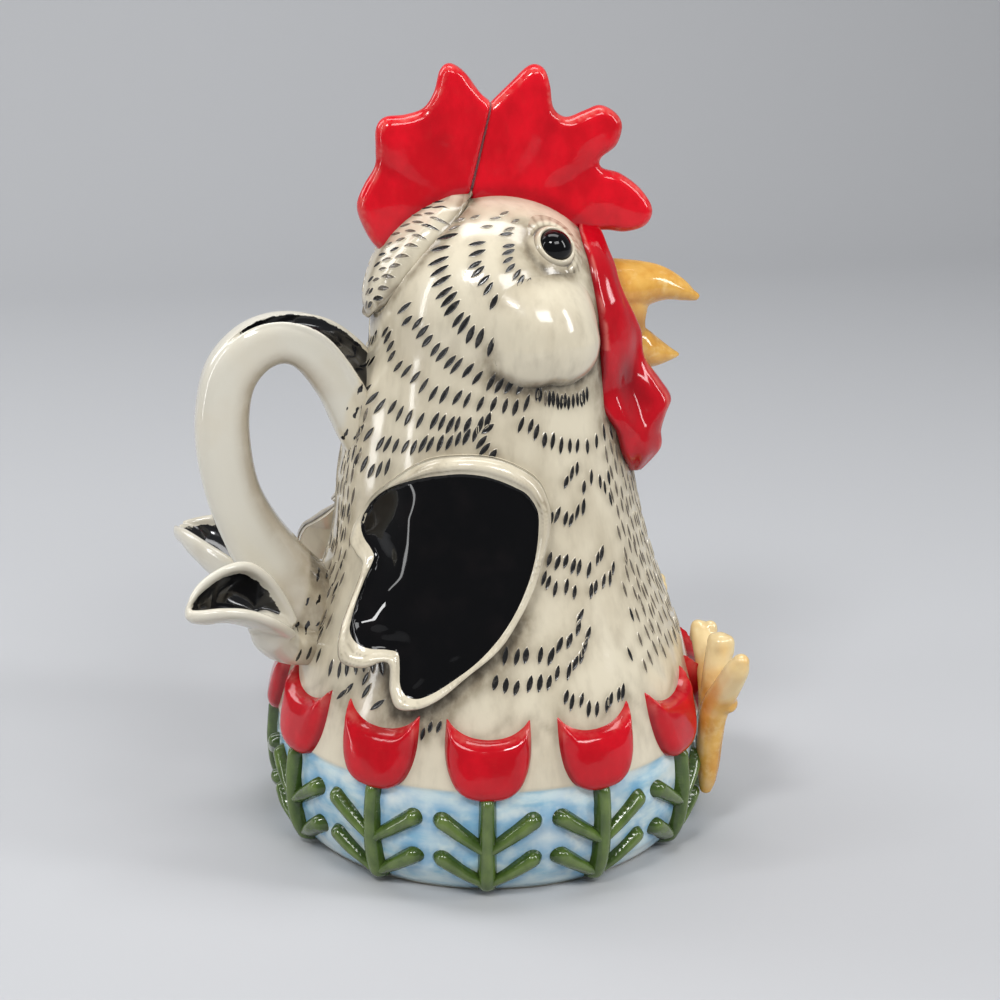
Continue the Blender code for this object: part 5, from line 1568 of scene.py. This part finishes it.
for name, angle in (("right", -30.0), ("left", 41.0)):
    hand = -math.copysign(1, angle)
    c, s = math.cos(math.radians(angle)), math.sin(math.radians(angle))
    out_way, side_way = np.array((c, s, 0)), np.array((-s, c, 0))
    points, faces = join([limb([(c * far - s * hand * side, s * far + c * hand * side, z, r)
                                for far, side, z, r in stations])
                          for stations in (FOOT_OUTER, FOOT_MIDDLE, FOOT_INNER, FOOT_KNUCKLE) + FOOT_NAILS])
    foot = make(f"claw_{name}", points, faces, [amber])
    fuse(foot, 0.5, 5)
    spots = places(foot)
    # A groove runs down the front of the leg
    along_leg = smoothstep(18, 22, spots[:, 2]) * smoothstep(46, 40, spots[:, 2])
    dent = 0.8 * bell((spots - FOOT_FAR * out_way) @ side_way, 0, 1.1) * along_leg
    dent *= smoothstep(0, 2, spots @ out_way - FOOT_FAR)
    moved = spots - out_way * dent[:, None]
    foot.data.vertices.foreach_set("co", (moved * MM).astype(np.float32).ravel())
    foot.data.update()
    # Painted shade in the leg's groove and against the body, and darker patches at random
    near_body = smoothstep(5.0, 1.0, off_body(spots))
    wash = dent + 0.55 * near_body + 0.45 * np.clip(wander(spots, 5.0, 2.0), 0, 1)
    pale = smoothstep(44, 58, spots[:, 2]) + 0.7 * wander(spots, 6.0, 5.0)
    paint(foot, pale=np.clip(pale, 0, 1), wash=np.clip(wash, 0, 1))
    coat(foot, amber)
    piece(foot, "pot", "amber_glaze", f"foot_{name}")

# ---------------------------------------------------------------- stage, light and camera

# All of these are in metres
FLOOR_FRONT, FLOOR_BACK, FLOOR_HALF = -0.9, 0.75, 1.3
SWEEP_R, SWEEP_TOP = 0.35, 2.4
# Lamps: place, height of the point they aim at, width and height, power in watts
LAMPS = {"key": ((-0.55, -0.75, 1.15), 0.11, (0.3, 0.22), 6.5),
         "front": ((0.3, -1.05, 1.2), 0.11, (0.7, 0.4), 8.5),
         "fill": ((0.95, -0.45, 0.65), 0.11, (0.16, 0.7), 4.5),
         "top": ((0.05, 0.15, 1.25), 0.1, (0.9, 0.35), 6.0),
         "strip": ((-1.0, -0.15, 0.42), 0.1, (0.08, 0.9), 2.2),
         "rim": ((-0.75, 0.55, 0.75), 0.12, (0.3, 0.8), 3.5)}
CAMERA_PLACE = (-0.1322, -0.6221, 0.3222)

stage_material = bpy.data.materials.new("pale_stage")
stage_material.use_nodes = True
stage_shader = stage_material.node_tree.nodes["Principled BSDF"]
stage_shader.inputs["Base Color"].default_value = (0.50, 0.51, 0.53, 1)
stage_shader.inputs["Roughness"].default_value = 0.75
sweep = [(FLOOR_FRONT, 0.0), (FLOOR_BACK, 0.0)]
sweep += [(FLOOR_BACK + SWEEP_R * math.sin(t), SWEEP_R - SWEEP_R * math.cos(t))
          for t in np.linspace(0.1, math.pi / 2, 14)] + [(FLOOR_BACK + SWEEP_R, SWEEP_TOP)]
sweep_points = [(x / MM, y / MM, z / MM) for y, z in sweep for x in (-FLOOR_HALF, FLOOR_HALF)]
sweep_faces = [(2 * k, 2 * k + 1, 2 * k + 3, 2 * k + 2) for k in range(len(sweep) - 1)]
floor = make("studio_sweep", sweep_points, sweep_faces, [stage_material])

# The world lights the object faintly, and shows as plain grey where it is seen or mirrored
world = bpy.data.worlds.new("studio")
world.use_nodes = True
nodes, links = world.node_tree.nodes, world.node_tree.links
glow = nodes["Background"]
glow.inputs["Color"].default_value = (1, 1, 1, 1)
glow.inputs["Strength"].default_value = 0.10
seen = nodes.new("ShaderNodeBackground")
seen.inputs["Color"].default_value = (0.21, 0.215, 0.225, 1)
choice = nodes.new("ShaderNodeMixShader")
path = nodes.new("ShaderNodeLightPath")
show = path.outputs["Is Camera Ray"]
for kind in ("Is Glossy Ray", "Is Transmission Ray"):
    either = nodes.new("ShaderNodeMath")
    either.operation = "MAXIMUM"
    links.new(show, either.inputs[0])
    links.new(path.outputs[kind], either.inputs[1])
    show = either.outputs["Value"]
links.new(show, choice.inputs["Fac"])
links.new(glow.outputs["Background"], choice.inputs[1])
links.new(seen.outputs["Background"], choice.inputs[2])
links.new(choice.outputs["Shader"], nodes["World Output"].inputs["Surface"])
scene.world = world

for name, (place, aim_height, size, power) in LAMPS.items():
    light = bpy.data.lights.new(name, "AREA")
    light.shape = "RECTANGLE"
    light.size, light.size_y = size
    light.energy = power
    obj = bpy.data.objects.new(name, light)
    obj.location = place
    obj.rotation_euler = (Vector((0, 0, aim_height)) - Vector(place)).to_track_quat("-Z", "Y").to_euler()
    scene.collection.objects.link(obj)

camera = bpy.data.cameras.new("camera")
camera.sensor_fit = "HORIZONTAL"
camera.sensor_width = 36.0
camera.lens = 76.32
camera.clip_start = 0.01
eye_point = bpy.data.objects.new("camera", camera)
yaw, pitch, roll = math.radians(12.28), math.radians(18.9), math.radians(0.55)
forward = Vector((math.sin(yaw) * math.cos(pitch), math.cos(yaw) * math.cos(pitch), -math.sin(pitch)))
level = Vector((math.cos(yaw), -math.sin(yaw), 0))
upward = level.cross(forward)
right_way = level * math.cos(roll) + upward * math.sin(roll)
up_way = -level * math.sin(roll) + upward * math.cos(roll)
pose = eye_point.matrix_world
for row in range(3):
    pose[row][0], pose[row][1], pose[row][2] = right_way[row], up_way[row], -forward[row]
pose[0][3], pose[1][3], pose[2][3] = CAMERA_PLACE
eye_point.matrix_world = pose
scene.collection.objects.link(eye_point)
scene.camera = eye_point

bpy.context.view_layer.update()
